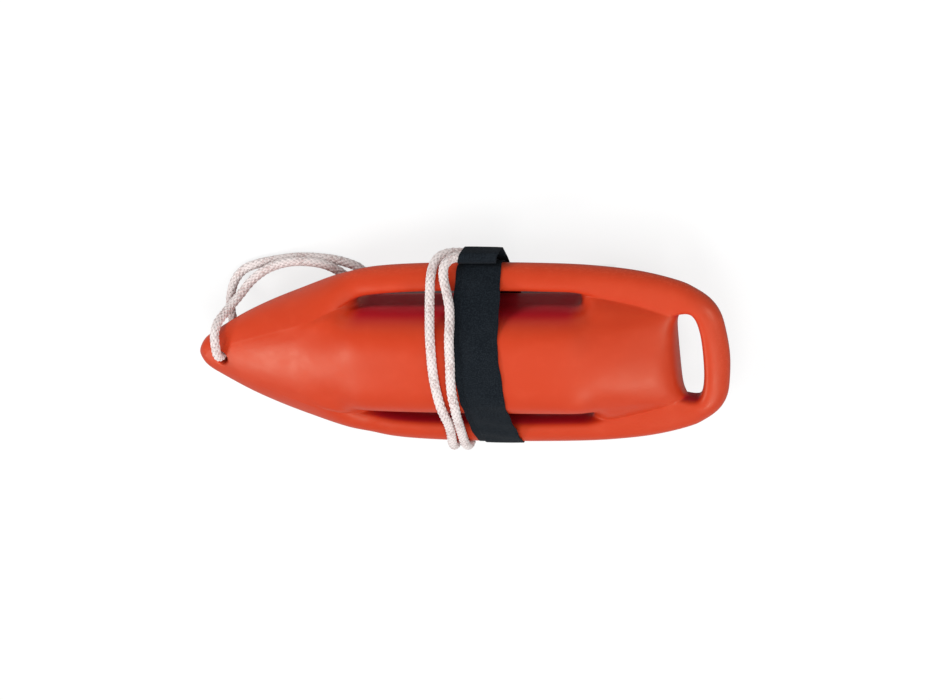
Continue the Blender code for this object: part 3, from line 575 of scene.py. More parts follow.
def crown_point(row, column):
    """A point on the crown or on the web beside it."""
    x = rows[row]
    if row == TAIL_ROW - 1:
        return Vector((*grip_slot_edge(row, column), 0.0))
    inner = rail_point(row, COLUMNS, 0)
    height = crown_height(x)
    half = np.interp(x, [SLOT_END, rows[TAIL_ROW - 1]], [CROWN_WIDTH / 2, CROWN_TAIL_WIDTH / 2])
    half = min(half, inner.y - CROWN_TO_RAIL)
    if FIRST_SLOT_ROW <= row <= LAST_SLOT_ROW:
        y = half * OPEN_SECTION[column][0]
        z = height * OPEN_SECTION[column][1]
    else:
        y = half * CLOSED_SECTION[column][0]
        if column == COLUMNS - 1:
            y = (half + inner.y) / 2
        z = WEB_THICKNESS / 2 + (height - WEB_THICKNESS / 2) * CLOSED_SECTION[column][1]
    spot = on_nose_cone(np.array([x, y]), z)
    spot.x += (inner.x - x) * column / COLUMNS
    return spot


def cage_point(row, column, ring):
    """Where a point of the cage goes: ring 0 is the grid and rings 1 to 3 its rim."""
    edge = abs(column) == COLUMNS or row in (0, TAIL_ROW)
    spot = rail_point(row, abs(column), ring) if ring or edge else crown_point(row, abs(column))
    if column < 0:
        spot.y = -spot.y
    return spot


print(TAIL_ROW, "rows of the cage; the slots run from row", FIRST_SLOT_ROW, "to row", LAST_SLOT_ROW)

# %% The cage: grid, rim and mirror
LIMIT_PASSES = 8
MIRROR_MERGE = 1e-5
MERGE = 1e-6


def float_cage():
    """The cage: a grid without its slots, its rim extruded and the upper half mirrored."""
    bm = bmesh.new()
    bmesh.ops.create_grid(bm, x_segments=TAIL_ROW, y_segments=2 * COLUMNS, size=1.0)
    place = {v: (round((v.co.x + 1) / 2 * TAIL_ROW), round(v.co.y * COLUMNS), 0) for v in bm.verts}
    rim = [e for e in bm.edges if e.is_boundary]
    gone = []
    for face in bm.faces:
        face_rows = sorted({place[v][0] for v in face.verts})
        outer = max(abs(place[v][1]) for v in face.verts)
        in_side_slot = outer == COLUMNS and face_rows[0] >= FIRST_SLOT_ROW and face_rows[-1] <= LAST_SLOT_ROW
        if in_side_slot or face_rows[-1] == TAIL_ROW:
            gone.append(face)
    for ring in range(1, len(RING_REACH)):
        made = bmesh.ops.extrude_edge_only(bm, edges=rim)["geom"]
        old = {(round(v.co.x, 5), round(v.co.y, 5)): spot for v, spot in place.items()}
        for v in made:
            if isinstance(v, bmesh.types.BMVert):
                row, column, _ = old[(round(v.co.x, 5), round(v.co.y, 5))]
                place[v] = (row, column, ring)
        edges = [e for e in made if isinstance(e, bmesh.types.BMEdge)]
        rim = [e for e in edges if all(place[v][2] == ring for v in e.verts)]
    bmesh.ops.delete(bm, geom=gone, context="FACES")
    for v, spot in place.items():
        v.co = cage_point(*spot)
    bmesh.ops.mirror(bm, geom=bm.verts[:] + bm.edges[:] + bm.faces[:], matrix=Matrix.Identity(4),
                     merge_dist=MIRROR_MERGE, axis="Z")
    bmesh.ops.recalc_face_normals(bm, faces=bm.faces[:])
    return bm


def let_surface_pass_through(bm, passes):
    """Moves the cage's points so that its smooth surface passes through where they stood."""
    bm.verts.index_update()
    wanted = np.array([v.co for v in bm.verts])
    points = wanted.copy()
    near, across = [], []
    for v in bm.verts:
        beside = [e.other_vert(v) for e in v.link_edges]
        near.append([w.index for w in beside])
        opposite = [[w.index for w in f.verts if w is not v and w not in beside] for f in v.link_faces]
        across.append([corners[0] for corners in opposite])
    for _ in range(passes):
        limit = np.empty_like(points)
        for k, neighbours in enumerate(near):
            n = len(neighbours)
            total = n * n * points[k] + 4 * points[neighbours].sum(0) + points[across[k]].sum(0)
            limit[k] = total / (n * (n + 5))
        points += wanted - limit
    for v, co in zip(bm.verts, points):
        v.co = co


cage = float_cage()
let_surface_pass_through(cage, LIMIT_PASSES)
print("cage", len(cage.faces), "quads")

# %% [markdown]
# The smooth skin then gets its two openings. The rope's hole goes straight through the solid nose. The skin
# is made finer round it, its mouths are rolled in by lowering the points there, and the faces are split into
# triangles, so that each is flat when the bore is cut. The vent's seat is a flat round recess on the
# underside, cut with a stepped cutter. Exact Booleans make both cuts.

# %% The skin and its openings
SKIN_LEVELS = 3
ROPE_HOLE_FROM_NOSE = 0.0386
ROPE_HOLE_RADIUS = 0.00875
ROPE_HOLE_ROLL = 0.0035
FINER_WITHIN = 0.015
FINER_CUTS = 3
TRIANGLES_WITHIN = 0.030
VENT_FROM_NOSE = 0.504
VENT_SEAT_DEPTH = 0.0012
VENT_FLANGE_RADIUS = 0.0120
VENT_BARREL_RADIUS = 0.0090
FIT_GAP = 0.0003
CUTTER_OVERSHOOT = 0.020
# turned a little, so that no edge of the bore lies on an edge of the skin
BORE_TURN = 0.02


def turned(profile, segments=64):
    """A body of revolution about Z from a closed profile of (radius, height)."""
    bm = bmesh.new()
    verts = [bm.verts.new((r, 0, z)) for r, z in profile]
    edges = [bm.edges.new((a, b)) for a, b in zip(verts, verts[1:] + verts[:1])]
    bmesh.ops.spin(bm, geom=verts + edges, axis=(0, 0, 1), cent=(0, 0, 0), steps=segments,
                   angle=2 * math.pi, use_merge=True)
    bmesh.ops.remove_doubles(bm, verts=bm.verts[:], dist=MERGE)
    bmesh.ops.recalc_face_normals(bm, faces=bm.faces[:])
    return bm


def cut(obj, cutter_bm):
    """Takes the cutter's shape out of the object."""
    cutter = mesh_object(obj.name + "_cutter", cutter_bm)
    boolean = obj.modifiers.new("cut", "BOOLEAN")
    boolean.operation = "DIFFERENCE"
    boolean.solver = "EXACT"
    boolean.object = cutter
    apply_modifiers(obj)
    bpy.data.objects.remove(cutter)


skin = mesh_object("float_skin", cage)
smooth = skin.modifiers.new("smooth", "SUBSURF")
smooth.levels = SKIN_LEVELS
smooth.render_levels = SKIN_LEVELS
apply_modifiers(skin)

hole_centre = Vector((ROPE_HOLE_FROM_NOSE, 0, 0))


def off_axis(place):
    """How far a place is from the axis of the rope's hole."""
    return (place.xy - hole_centre.xy).length


bm = bmesh.new()
bm.from_mesh(skin.data)
near_hole = [e for e in bm.edges if all(off_axis(v.co) < FINER_WITHIN for v in e.verts)]
bmesh.ops.subdivide_edges(bm, edges=near_hole, cuts=FINER_CUTS, use_grid_fill=True)
for v in bm.verts:
    away = off_axis(v.co) - ROPE_HOLE_RADIUS
    if away < ROPE_HOLE_ROLL:
        share = max(0.0, away) / ROPE_HOLE_ROLL
        drop = ROPE_HOLE_ROLL * (1 - math.sqrt(1 - (1 - share) ** 2))
        v.co.z -= math.copysign(drop, v.co.z)
round_hole = [f for f in bm.faces if off_axis(f.calc_center_median()) < TRIANGLES_WITHIN]
bmesh.ops.triangulate(bm, faces=round_hole)
bm.to_mesh(skin.data)
bm.free()

top = BODY_THICKNESS / 2
bore = turned([(0.0, top), (ROPE_HOLE_RADIUS, top), (ROPE_HOLE_RADIUS, -top), (0.0, -top)])
bmesh.ops.rotate(bore, verts=bore.verts[:], cent=(0, 0, 0), matrix=Matrix.Rotation(BORE_TURN, 3, "Z"))
bmesh.ops.translate(bore, verts=bore.verts[:], vec=hole_centre)
cut(skin, bore)
seat = VENT_SEAT_DEPTH - crown_height(VENT_FROM_NOSE)
flange = VENT_FLANGE_RADIUS + FIT_GAP
barrel = VENT_BARREL_RADIUS + FIT_GAP
recess = turned([(0.0, -CUTTER_OVERSHOOT), (flange, -CUTTER_OVERSHOOT), (flange, 0.0), (barrel, 0.0),
                 (barrel, CUTTER_OVERSHOOT), (0.0, CUTTER_OVERSHOOT)])
bmesh.ops.translate(recess, verts=recess.verts[:], vec=(VENT_FROM_NOSE, 0, seat))
cut(skin, recess)

# %% [markdown]
# Handling rubs the rails first, so the skin carries a value that says how exposed each point is: it is
# highest on the outside of the rails and on the tail's bar. The finish reads it and shows fine dull
# scratches there.

# %% Where the skin is rubbed
RUBBED_REACH = (0.90, 1.0)
RUBBED_HEIGHT = (0.006, 0.018)
RUBBED_TAIL = 0.020
LEAST_HALF_WIDTH = 0.010
TIP = 0.002

spots = np.empty(3 * len(skin.data.vertices))
skin.data.vertices.foreach_get("co", spots)
x, y, z = spots.reshape(-1, 3).T
y, z = abs(y), abs(z)


def write_values(name, values):
    """Lets the skin carry one value for each of its points."""
    layer = skin.data.attributes.new(name, "FLOAT", "POINT")
    layer.data.foreach_set("value", values.astype(np.float32))
    print(name, round(float(values.mean()), 3), "on average")


half_widths = np.maximum(outline.half_width(np.clip(x, TIP, BODY_LENGTH - TIP)), LEAST_HALF_WIDTH)
exposed = ease(y / half_widths, *RUBBED_REACH) * fade(z, *RUBBED_HEIGHT)
write_values("rubbed", np.maximum(exposed, ease(x, BODY_LENGTH - RUBBED_TAIL, BODY_LENGTH)))

# %% [markdown]
# In the photograph the finger slots and the two ends of the grip slot are a much deeper red than the rest.
# They lie in deep shade, where light bounces between orange walls. That shade is painted into the colour, so
# a second value says how much painted shade each point gets: it is 1 on the walls low in the slots and fades
# out before the rims, the rails and the slots' ends.

# %% Where shade is painted on the skin
SLOT_END_FADE = 0.012
SHADE_BELOW = (0.028, 0.058)
OFF_THE_RAIL = (0.001, 0.005)
GRIP_END_FROM = -0.008
GRIP_END_TO = (0.006, 0.010)
GRIP_BELOW = (0.008, 0.016)

rail_inside = outline.half_width(x) - RAIL_WIDTH
beside = ease(x, SLOT_START - SLOT_END_FADE, SLOT_START + SLOT_END_FADE)
beside *= fade(x, SLOT_END - SLOT_END_FADE, SLOT_END + SLOT_END_FADE)
shade_in_slots = beside * fade(z, *SHADE_BELOW) * fade(y - rail_inside, *OFF_THE_RAIL)
past_end = y - TAIL_SLOT_LENGTH / 2
shade_at_grip_ends = (x > lip) * (x < rows[TAIL_ROW]) * ease(past_end, GRIP_END_FROM, 0.0)
shade_at_grip_ends *= fade(z, *GRIP_BELOW) * fade(past_end, *GRIP_END_TO)
# painted shade: the value that darkens the slots' walls and the grip slot's ends to deep red
write_values("painted_slot_shade", np.maximum(shade_in_slots, shade_at_grip_ends))
finish_piece(skin, "float", float_finish, sharp_angle=40)
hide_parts("hull_shell")

# %% [markdown]
# ## The tow line
#
# The line is plaited from twelve strands, six each way, that pass over and under one another. Twelve thin
# tubes could be wound along the route, but two metres of them would be a very heavy mesh. Instead one grid
# is rolled into a tube, and each of its points is lowered by how deep the plait lies there: a strand is a
# round ridge that rises where it passes over its neighbours and sinks where it passes under them. The same
# grid's UV map carries the turn round the rope and the distance along it, so the yarns can be drawn on it.

# %% The plait's relief
PLAIT_PAIRS = 6
PLAIT_PITCH = 0.0080
PLAIT_DEPTH = 0.0020
PLAIT_SWELL = 0.0007
STRAND_CURVE = 0.90
OVER_AND_UNDER = 0.55
LOWEST_GAP = 0.35
GAP_TO_KNOB = 1.2
ROUND_STEPS = 36
RING_SPACING = 0.00110


def plait(turn, along):
    """The plait's height, 0 to 1, whether a right-hand strand is on top, and which strand that is."""
    p = PLAIT_PAIRS * turn + along / PLAIT_PITCH
    q = PLAIT_PAIRS * turn - along / PLAIT_PITCH
    i, j = np.floor(p), np.floor(q)
    right_hand = np.sqrt(1 - STRAND_CURVE * (2 * (p - i) - 1) ** 2) + OVER_AND_UNDER * np.sin(np.pi * (q + i))
    left_hand = np.sqrt(1 - STRAND_CURVE * (2 * (q - j) - 1) ** 2) - OVER_AND_UNDER * np.sin(np.pi * (p + j))
    height = np.clip((np.maximum(right_hand, left_hand) - LOWEST_GAP) / GAP_TO_KNOB, 0.0, 1.0)
    on_top = right_hand > left_hand
    return height, on_top, np.where(on_top, i % PLAIT_PAIRS, j % PLAIT_PAIRS)


def frames_along(line):
    """Two directions square to the line at each of its points, which never twist round it."""
    ways = unit(np.gradient(line, axis=0))
    side = np.cross(ways[0], (0.0, 0.0, 1.0))
    sides = []
    for way in ways:
        side = side - way * (side @ way)
        side = side / np.linalg.norm(side)
        sides.append(side)
    return np.array(sides), np.cross(ways, sides)


rope_run = distances_along(rope_line)
distances = np.linspace(0.0, rope_run[-1], int(rope_run[-1] / RING_SPACING) + 1)
centre = values_at(distances, rope_run, rope_line)
sides, ups = frames_along(centre)
print(len(centre), "rings of", ROUND_STEPS, "points")

# %% The rope's mesh
def rolled_grid(rings, round_steps, uv_name):
    """A flat grid with UVs from 0 to 1 and the ring and step of each of its points."""
    bm = bmesh.new()
    bm.loops.layers.uv.new(uv_name)
    bmesh.ops.create_grid(bm, x_segments=rings - 1, y_segments=round_steps, size=1.0, calc_uvs=True)
    bm.verts.index_update()
    flat = np.array([v.co for v in bm.verts])
    ring = np.rint((flat[:, 0] + 1) / 2 * (rings - 1)).astype(int)
    step = np.rint((flat[:, 1] + 1) / 2 * round_steps).astype(int)
    return bm, ring, step


bm, ring, step = rolled_grid(len(centre), ROUND_STEPS, "plait")
turn = step / ROUND_STEPS
height, on_top, strand = plait(turn, distances[ring])
radius = ROPE_DIAMETER / 2 + PLAIT_SWELL - PLAIT_DEPTH * (1 - height)
angle = 2 * np.pi * turn[:, None]
spots = centre[ring] + radius[:, None] * (np.cos(angle) * sides[ring] + np.sin(angle) * ups[ring])
for v, spot in zip(bm.verts, spots):
    v.co = spot
for name, values in (("height", height), ("lay", on_top), ("strand", (strand + 0.5) / PLAIT_PAIRS)):
    layer = bm.verts.layers.float.new(name)
    for v, value in zip(bm.verts, values):
        v[layer] = float(value)
seam = [v for v, s in zip(bm.verts, step) if s in (0, ROUND_STEPS)]
bmesh.ops.remove_doubles(bm, verts=seam, dist=MERGE)
ends = [e for e in bm.edges if e.is_boundary]
bmesh.ops.holes_fill(bm, edges=ends, sides=0)
bmesh.ops.recalc_face_normals(bm, faces=bm.faces[:])
rope = mesh_object("tow_line_braid", bm)

# %% [markdown]
# The yarns are white polyester, and one pair of strands has darker picks in it: in the photograph the rope is
# off-white with faint pink and grey flecks. The gaps between the strands are painted darker, as painted
# shade, and fine lines along each strand show its yarns. They follow the strand that is on top, so they
# change direction from cell to cell: the UV map gives both directions, and the value called lay says which
# one counts.

# %% Rope finish
OFF_WHITE = (0.83, 0.72, 0.70)
PALER_WHITE = (0.93, 0.86, 0.84)
DARK_PICKS = (0.58, 0.42, 0.40)
# painted shade in the gaps between the strands
GAP_SHADE = (0.36, 0.31, 0.30)
MARKED_STRAND = 0.333
YARNS_IN_STRAND = 4
YARN_HEIGHT = 0.00012
FIBRE_HEIGHT = 0.00008


def braided_rope():
    finish = Finish("braided_rope", (0.80, 0.78, 0.76), 0.78)
    place = finish.place()
    along, turn = finish.uv("plait")
    cells_along = finish.maths("MULTIPLY", along, float(distances[-1]) / PLAIT_PITCH)
    cells_round = finish.maths("MULTIPLY", turn, float(PLAIT_PAIRS))
    right_hand, left_hand = [
        finish.maths("SINE", finish.maths("MULTIPLY", finish.maths(way, cells_round, cells_along),
                                          2 * math.pi * YARNS_IN_STRAND))
        for way in ("ADD", "SUBTRACT")
    ]
    lay = finish.spread(finish.attribute("lay"), 0.45, 0.55)
    yarn = finish.maths("MULTIPLY_ADD", lay, finish.maths("SUBTRACT", right_hand, left_hand), left_hand)
    off_marked = finish.maths("ABSOLUTE", finish.maths("SUBTRACT", finish.attribute("strand"), MARKED_STRAND))
    flecks = finish.spread(finish.noise(place, 420.0, 3.0), 0.44, 0.58, 0.0, 0.9)
    marked = finish.maths("MULTIPLY", finish.spread(off_marked, 0.10, 0.15, 1.0, 0.0), flecks)
    colour = finish.blend(finish.noise(place, 90.0, 2.0), OFF_WHITE, PALER_WHITE)
    colour = finish.blend(finish.maths("MULTIPLY", marked, 0.85), colour, DARK_PICKS)
    # painted shade: the low gaps between the strands, where the plait's height is small, are darkened
    gap_shade = finish.spread(finish.attribute("height"), 0.05, 0.65, 0.95, 0.0)
    colour = finish.blend(gap_shade, colour, GAP_SHADE)
    normal = finish.bump(finish.spread(yarn, -1.0, 1.0), YARN_HEIGHT)
    normal = finish.bump(finish.noise(place, 2600.0, 2.0), FIBRE_HEIGHT, normal)
    finish.shade({"Base Color": colour, "Normal": normal})
    finish.shade({"Sheen Weight": 0.15, "Specular IOR Level": 0.3})
    return finish.material


finish_piece(rope, "float", braided_rope(), sharp_angle=180)
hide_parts("tow_line")

# %% [markdown]
# ## The shoulder strap
#
# The strap is a closed loop of wide webbing, pressed flat to two layers and wound round the float with its
# second time round over its first. Webbing under tension runs straight from one place that it touches to
# the next, so its section is a chain of straight runs, each of which touches what is under it. The chain
# goes round on the inner layer, turns back in a fold round the sleeve, comes back on the outer layer and
# closes in a hem at the inner end. Two neighbouring runs meet in a corner, and a smooth line through the
# corners is the webbing's middle. A grid is then rolled round that line, as for the rope, but into a flat
# band with round selvedges.

# %% The strap's runs
STRAP_WIDTH = 0.051
STRAP_THICKNESS = 0.0014
STRAP_GAP = 0.0003
STRAP_FROM_NOSE = 0.4090
LAYER_SHIFT = 0.0045
INNER_END = math.radians(-48)
OUTER_END = SLEEVE_ANGLE + 2 * math.pi
WRAP_STEPS = 54
LIFT_START = math.radians(280)
LIFT_END = math.radians(303)
SLEEVE_HALF_WIDTH = 0.0123
SLEEVE_RADIUS = 0.0062
FOLD_SHARES = (0.2, 0.4, 0.6, 0.8)
HEM_SHARES = (0.25, 0.5, 0.75)


def heading(angle):
    """The unit direction at this angle in the YZ plane; 0 is +Y and a quarter turn is +Z."""
    return np.array([math.cos(angle), math.sin(angle)])


def crossing(first, second):
    """Where two lines meet; each is (unit normal, distance from the origin)."""
    (n1, d1), (n2, d2) = first, second
    det = n1[0] * n2[1] - n1[1] * n2[0]
    return np.array([d1 * n2[1] - d2 * n1[1], n1[0] * d2 - n2[0] * d1]) / det


def layers_lifted(angle):
    """How much farther out the second time round lies, to clear the first."""
    return 2 * (STRAP_THICKNESS + STRAP_GAP) * ease(angle, LIFT_START, LIFT_END)


under_strap = hull_verts[np.abs(hull_verts[:, 0] - STRAP_FROM_NOSE) < STRAP_WIDTH / 2 + LAYER_SHIFT][:, 1:]
sleeve_centre = sleeve_middle[1:]


def girth(angle):
    """How far the float reaches in this direction."""
    return float((under_strap @ heading(angle)).max())


def sleeve_reach(angle):
    """How far the sleeve reaches in this direction."""
    half = SLEEVE_HALF_WIDTH - SLEEVE_RADIUS
    along = heading(SLEEVE_ANGLE + math.pi / 2)
    return float(sleeve_centre @ heading(angle) + half * abs(along @ heading(angle)) + SLEEVE_RADIUS)


def strap_runs():
    """The chain of runs: (unit normal, distance, shift along the float, angle round it, which part)."""
    angles = np.linspace(INNER_END, OUTER_END, WRAP_STEPS)
    bottom = 1.5 * math.pi
    angles += bottom - angles[np.argmin(np.abs(angles - bottom))]
    angles[0] = INNER_END
    angles[-1] = OUTER_END
    inner = []
    for a in angles:
        reach = girth(a) + FIT_GAP + layers_lifted(a) + STRAP_THICKNESS
        inner.append((heading(a), reach, -LAYER_SHIFT, a, "inner"))
    fold = []
    for share in FOLD_SHARES:
        a = OUTER_END + math.pi * (1 - share)
        shift = LAYER_SHIFT * (2 * share - 1)
        fold.append((-heading(a), -(sleeve_reach(a) + STRAP_GAP), shift, OUTER_END, "fold"))
    outer = []
    for a in angles[::-1]:
        reach = girth(a) + FIT_GAP + layers_lifted(a) + STRAP_THICKNESS + STRAP_GAP
        if a > LIFT_END:
            reach = max(reach, sleeve_reach(a) + STRAP_GAP)
        outer.append((-heading(a), -reach, LAYER_SHIFT, a, "outer"))
    square = heading(INNER_END + math.pi / 2)
    touching = under_strap[np.argmax(under_strap @ heading(INNER_END))]
    start = crossing((heading(INNER_END), inner[0][1] + STRAP_GAP / 2), (square, touching @ square))
    hem = []
    for share in HEM_SHARES:
        way = heading(INNER_END - math.pi * share)
        hem.append((-way, -(start @ way + STRAP_GAP / 2), LAYER_SHIFT * (1 - 2 * share), INNER_END, "hem"))
    return inner + fold + outer + hem


runs = strap_runs()
print(len(runs), "runs; under the strap the float is", round(girth(0) + girth(math.pi), 4), "m wide")

# %% The webbing's middle line
STATION_STEPS = 5
STATION_SPACING = 0.002
SHORTEST_STEP = 0.00015
SOFT_FROM_TURN = (0.004, 0.020)
SOFT_PASSES = 24
IN_TURN = 0.2

corners = []
for run, following in zip(runs, runs[1:] + runs[:1]):
    one = crossing(run[:2], following[:2])
    other = crossing((run[0], run[1] - STRAP_THICKNESS), (following[0], following[1] - STRAP_THICKNESS))
    y, z = (one + other) / 2
    x = STRAP_FROM_NOSE + (run[2] + following[2]) / 2
    free = 1.0 if run[4] == following[4] == "outer" else 0.0
    turning = 1.0 if run[4] in ("fold", "hem") else 0.0
    corners.append((x, y, z, run[3], free, turning))
corners = np.array(corners)
closed = np.concatenate([corners[-2:], corners, corners[:3]])
stations = smooth_line(closed, STATION_STEPS)[2 * STATION_STEPS:-3 * STATION_STEPS]
rough_run = distances_along(stations[:, 1:3])
in_turns = rough_run[stations[:, 5] > IN_TURN]
strap_run = np.union1d(np.arange(0.0, rough_run[-1], STATION_SPACING), in_turns)
strap_run = strap_run[np.concatenate([[True], np.diff(strap_run) > SHORTEST_STEP])]
strap_run[-1] = rough_run[-1]
stations = values_at(strap_run, rough_run, stations)
# the long runs are soft and even out between the turns, which keep their shape
from_turn = np.abs(strap_run[:, None] - in_turns).min(1)
softness = 0.5 * ease(from_turn, *SOFT_FROM_TURN)[1:-1, None]
for _ in range(SOFT_PASSES):
    middles = (stations[:-2, 1:3] + stations[2:, 1:3]) / 2
    stations[1:-1, 1:3] += softness * (middles - stations[1:-1, 1:3])
strap_line = stations[:, :3]
around = np.gradient(np.concatenate([strap_line[-2:-1], strap_line, strap_line[1:2]]), axis=0)[1:-1]
around = unit(around * (0, 1, 1))
outward = np.stack([np.zeros(len(around)), around[:, 2], -around[:, 1]], 1)
print(len(stations), "stations;", round(strap_run[-1], 3), "m of webbing in the loop")

# %% The webbing's mesh
ACROSS_STEPS = 20
EDGE_STEPS = 4
STRAP_MERGE = 2e-5
# how far the free outer layer stands off in ripples and at its selvedges, and how far it wanders sideways
RIPPLE = 0.0009
RIPPLE_LENGTH = 0.047
RIPPLE_DRIFT = (2.0, 23.0)
RIPPLE_SLANT = 60.0
EDGE_CURL = 0.0006
CURL_LENGTH = 0.031
WANDERS = ((0.0007, 0.11, 1.0), (0.0004, 0.037, 0.0))
# how straight down the layer faces where it lies on the floor, and how far the sleeve covers it
ON_FLOOR = (0.90, 0.97)
COVERED_PAST_SLEEVE = 0.5
COVERED_BEFORE_END = 0.1


def band_section():
    """Points round the webbing's section: (place across it, height off its middle), with round selvedges."""
    half = STRAP_THICKNESS / 2
    flat = STRAP_WIDTH / 2 - half
    side = [(u, half) for u in np.linspace(-flat, flat, ACROSS_STEPS + 1)]
    for k in range(1, EDGE_STEPS):
        turn = math.pi * k / EDGE_STEPS
        side.append((flat + half * math.sin(turn), half * math.cos(turn)))
    side = np.array(side)
    return np.concatenate([side, -side, side[:1]])


section = band_section()
bm, ring, step = rolled_grid(len(stations), len(section) - 1, "weave")
across, off_middle = section[step].T
run = strap_run[ring]
# only the outer layer where nothing lies over it is free to ripple, and never where it lies on the floor
angle_there = stations[ring, 3]
free = np.clip(stations[ring, 4], 0, 1) * fade(np.cos(angle_there - 1.5 * math.pi), *ON_FLOOR)
covered = (angle_there < SLEEVE_ANGLE + COVERED_PAST_SLEEVE) & (angle_there > INNER_END - COVERED_BEFORE_END)
free = np.where(covered, 0.0, free)
drift = RIPPLE_DRIFT[0] * np.sin(run * RIPPLE_DRIFT[1])
ripple = 0.5 + 0.5 * np.sin(run * 2 * math.pi / RIPPLE_LENGTH + drift + across * RIPPLE_SLANT)
curl = 0.5 + 0.5 * np.sin(run * 2 * math.pi / CURL_LENGTH + np.sign(across))
curl *= np.abs(across / (STRAP_WIDTH / 2)) ** 4
wander = sum(size * np.sin(run * 2 * math.pi / length + start) for size, length, start in WANDERS)
stands_off = off_middle + free * (RIPPLE * ripple + EDGE_CURL * curl)
spots = strap_line[ring] + outward[ring] * stands_off[:, None]
spots[:, 0] += across + wander
for v, spot in zip(bm.verts, spots):
    v.co = spot
uv_layer = bm.loops.layers.uv["weave"]
last_ring, last_step = len(stations) - 1, len(section) - 1
for face in bm.faces:
    for loop in face.loops:
        share_along, share_round = loop[uv_layer].uv
        loop[uv_layer].uv = (float(np.interp(share_along * last_ring, range(last_ring + 1), strap_run)),
                             float(np.interp(share_round * last_step, range(last_step + 1), section[:, 0])))
seams = [v for v, r, s in zip(bm.verts, ring, step) if r in (0, last_ring) or s in (0, last_step)]
bmesh.ops.remove_doubles(bm, verts=seams, dist=STRAP_MERGE)
bmesh.ops.recalc_face_normals(bm, faces=bm.faces[:])
strap = mesh_object("strap_webbing", bm)
print(len(stations), "rings of", last_step, "points")

# %% [markdown]
# Heavy webbing is woven in ribs: thick warp cords run along it and thin weft threads cross them. The UV map
# holds true metres, so the ribs and the weft can have their real pitch. The yarn is matte black with a blue
# cast, a little paler where it is rubbed and where a thread is thicker than its neighbours, and painted
# darker in the grooves between its ribs as painted shade.

# %% Webbing finish
RIB_PITCH = 0.0016
WEFT_PITCH = 0.0011
WEFT_SHARE = 0.35
# painted shade in the grooves between the ribs
SHADE_BETWEEN_RIBS = (0.002, 0.003, 0.005)
ON_RIBS = (0.009, 0.013, 0.018)
THICK_THREADS = (0.026, 0.034, 0.042)
DUST = (0.028, 0.032, 0.038)
WEAVE_DEPTH = 0.00022
FUZZ_DEPTH = 0.00010


def black_webbing():
    finish = Finish("black_webbing", (0.008, 0.010, 0.014), 0.85)
    along, across = finish.uv("weave")
    ribs = finish.maths("SINE", finish.maths("MULTIPLY", across, 2 * math.pi / RIB_PITCH))
    half_turn = finish.maths("MULTIPLY", finish.maths("SIGN", ribs), math.pi / 2)
    weft_turn = finish.maths("ADD", finish.maths("MULTIPLY", along, 2 * math.pi / WEFT_PITCH), half_turn)
    weft = finish.maths("SINE", weft_turn)
    weave = finish.maths("MULTIPLY_ADD", weft, WEFT_SHARE, finish.maths("ABSOLUTE", ribs))
    weave = finish.spread(weave, -WEFT_SHARE, 1 + WEFT_SHARE)
    place = finish.place()
    fuzz = finish.noise(place, 1800.0, 2.0)
    clouds = finish.noise(place, 30.0, 3.0)
    thick = finish.spread(finish.noise(place, 620.0, 1.0), 0.42, 0.64, 0.0, 0.45)
    # painted shade: darker between the ribs and the weft threads, by the same weave that makes the bump
    colour = finish.blend(weave, SHADE_BETWEEN_RIBS, ON_RIBS)
    colour = finish.blend(thick, colour, THICK_THREADS)
    dusty = finish.maths("MULTIPLY", finish.spread(clouds, 0.5, 0.8), finish.spread(fuzz, 0.4, 0.7, 0.0, 0.5))
    colour = finish.blend(dusty, colour, DUST)
    normal = finish.bump(fuzz, FUZZ_DEPTH, finish.bump(weave, WEAVE_DEPTH))
    finish.shade({"Base Color": colour, "Normal": normal, "Specular IOR Level": 0.10})
    finish.shade({"Sheen Weight": 0.03, "Sheen Roughness": 0.5})
    return finish.material


finish_piece(strap, "float", black_webbing(), sharp_angle=60)
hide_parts("shoulder_strap")

# %% [markdown]
# ## Small parts on their CAD meshes
#
# The sleeve that grips the rope's ends, the vent's insert, its ring and its plug have the right shape
# already. They only need finishes: shrunk rubbery plastic on the sleeve, moulded black nylon on the insert,
# black rubber on the ring and grey plastic on the plug.

# %% Finishes of the small parts
PALER_BY = 1.35
ROUGHER_BY = 0.06


def grained_plastic(name, colour, roughness, grain_scale, grain_depth):
    """A faintly cloudy plastic with a fine grain: its scale is in grains to the metre."""
    finish = Finish(name, colour, roughness)
    place = finish.place()
    clouds = finish.noise(place, 60.0, 3.0)
    lighter = [PALER_BY * c for c in colour]
    finish.shade({"Base Color": finish.blend(clouds, colour, lighter)})
    either_way = roughness - ROUGHER_BY, roughness + ROUGHER_BY
    finish.shade({"Roughness": finish.spread(clouds, 0.3, 0.7, *either_way)})
    finish.shade({"Normal": finish.bump(finish.noise(place, grain_scale, 2.0), grain_depth)})
    return finish.material


small_parts = {
    "line_sleeve": grained_plastic("sleeve_plastic", (0.014, 0.015, 0.017), 0.55, 900.0, 0.00012),
    "vent_insert": grained_plastic("insert_nylon", (0.016, 0.016, 0.017), 0.45, 1500.0, 0.00004),
    "vent_ring": grained_plastic("ring_rubber", (0.008, 0.008, 0.008), 0.60, 1500.0, 0.00004),
    "vent_plug": grained_plastic("plug_plastic", (0.19, 0.19, 0.20), 0.45, 1500.0, 0.00004),
}
for node, finish in small_parts.items():
    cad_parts[node].data.materials[0] = finish
    print(node, "has", finish.name)

# %% [markdown]
# The strap is one length of webbing whose ends overlap below the sleeve. They are sewn together with a box of
# stitches and its two diagonals. Each stitch is a short round black thread that lies on the outer layer.

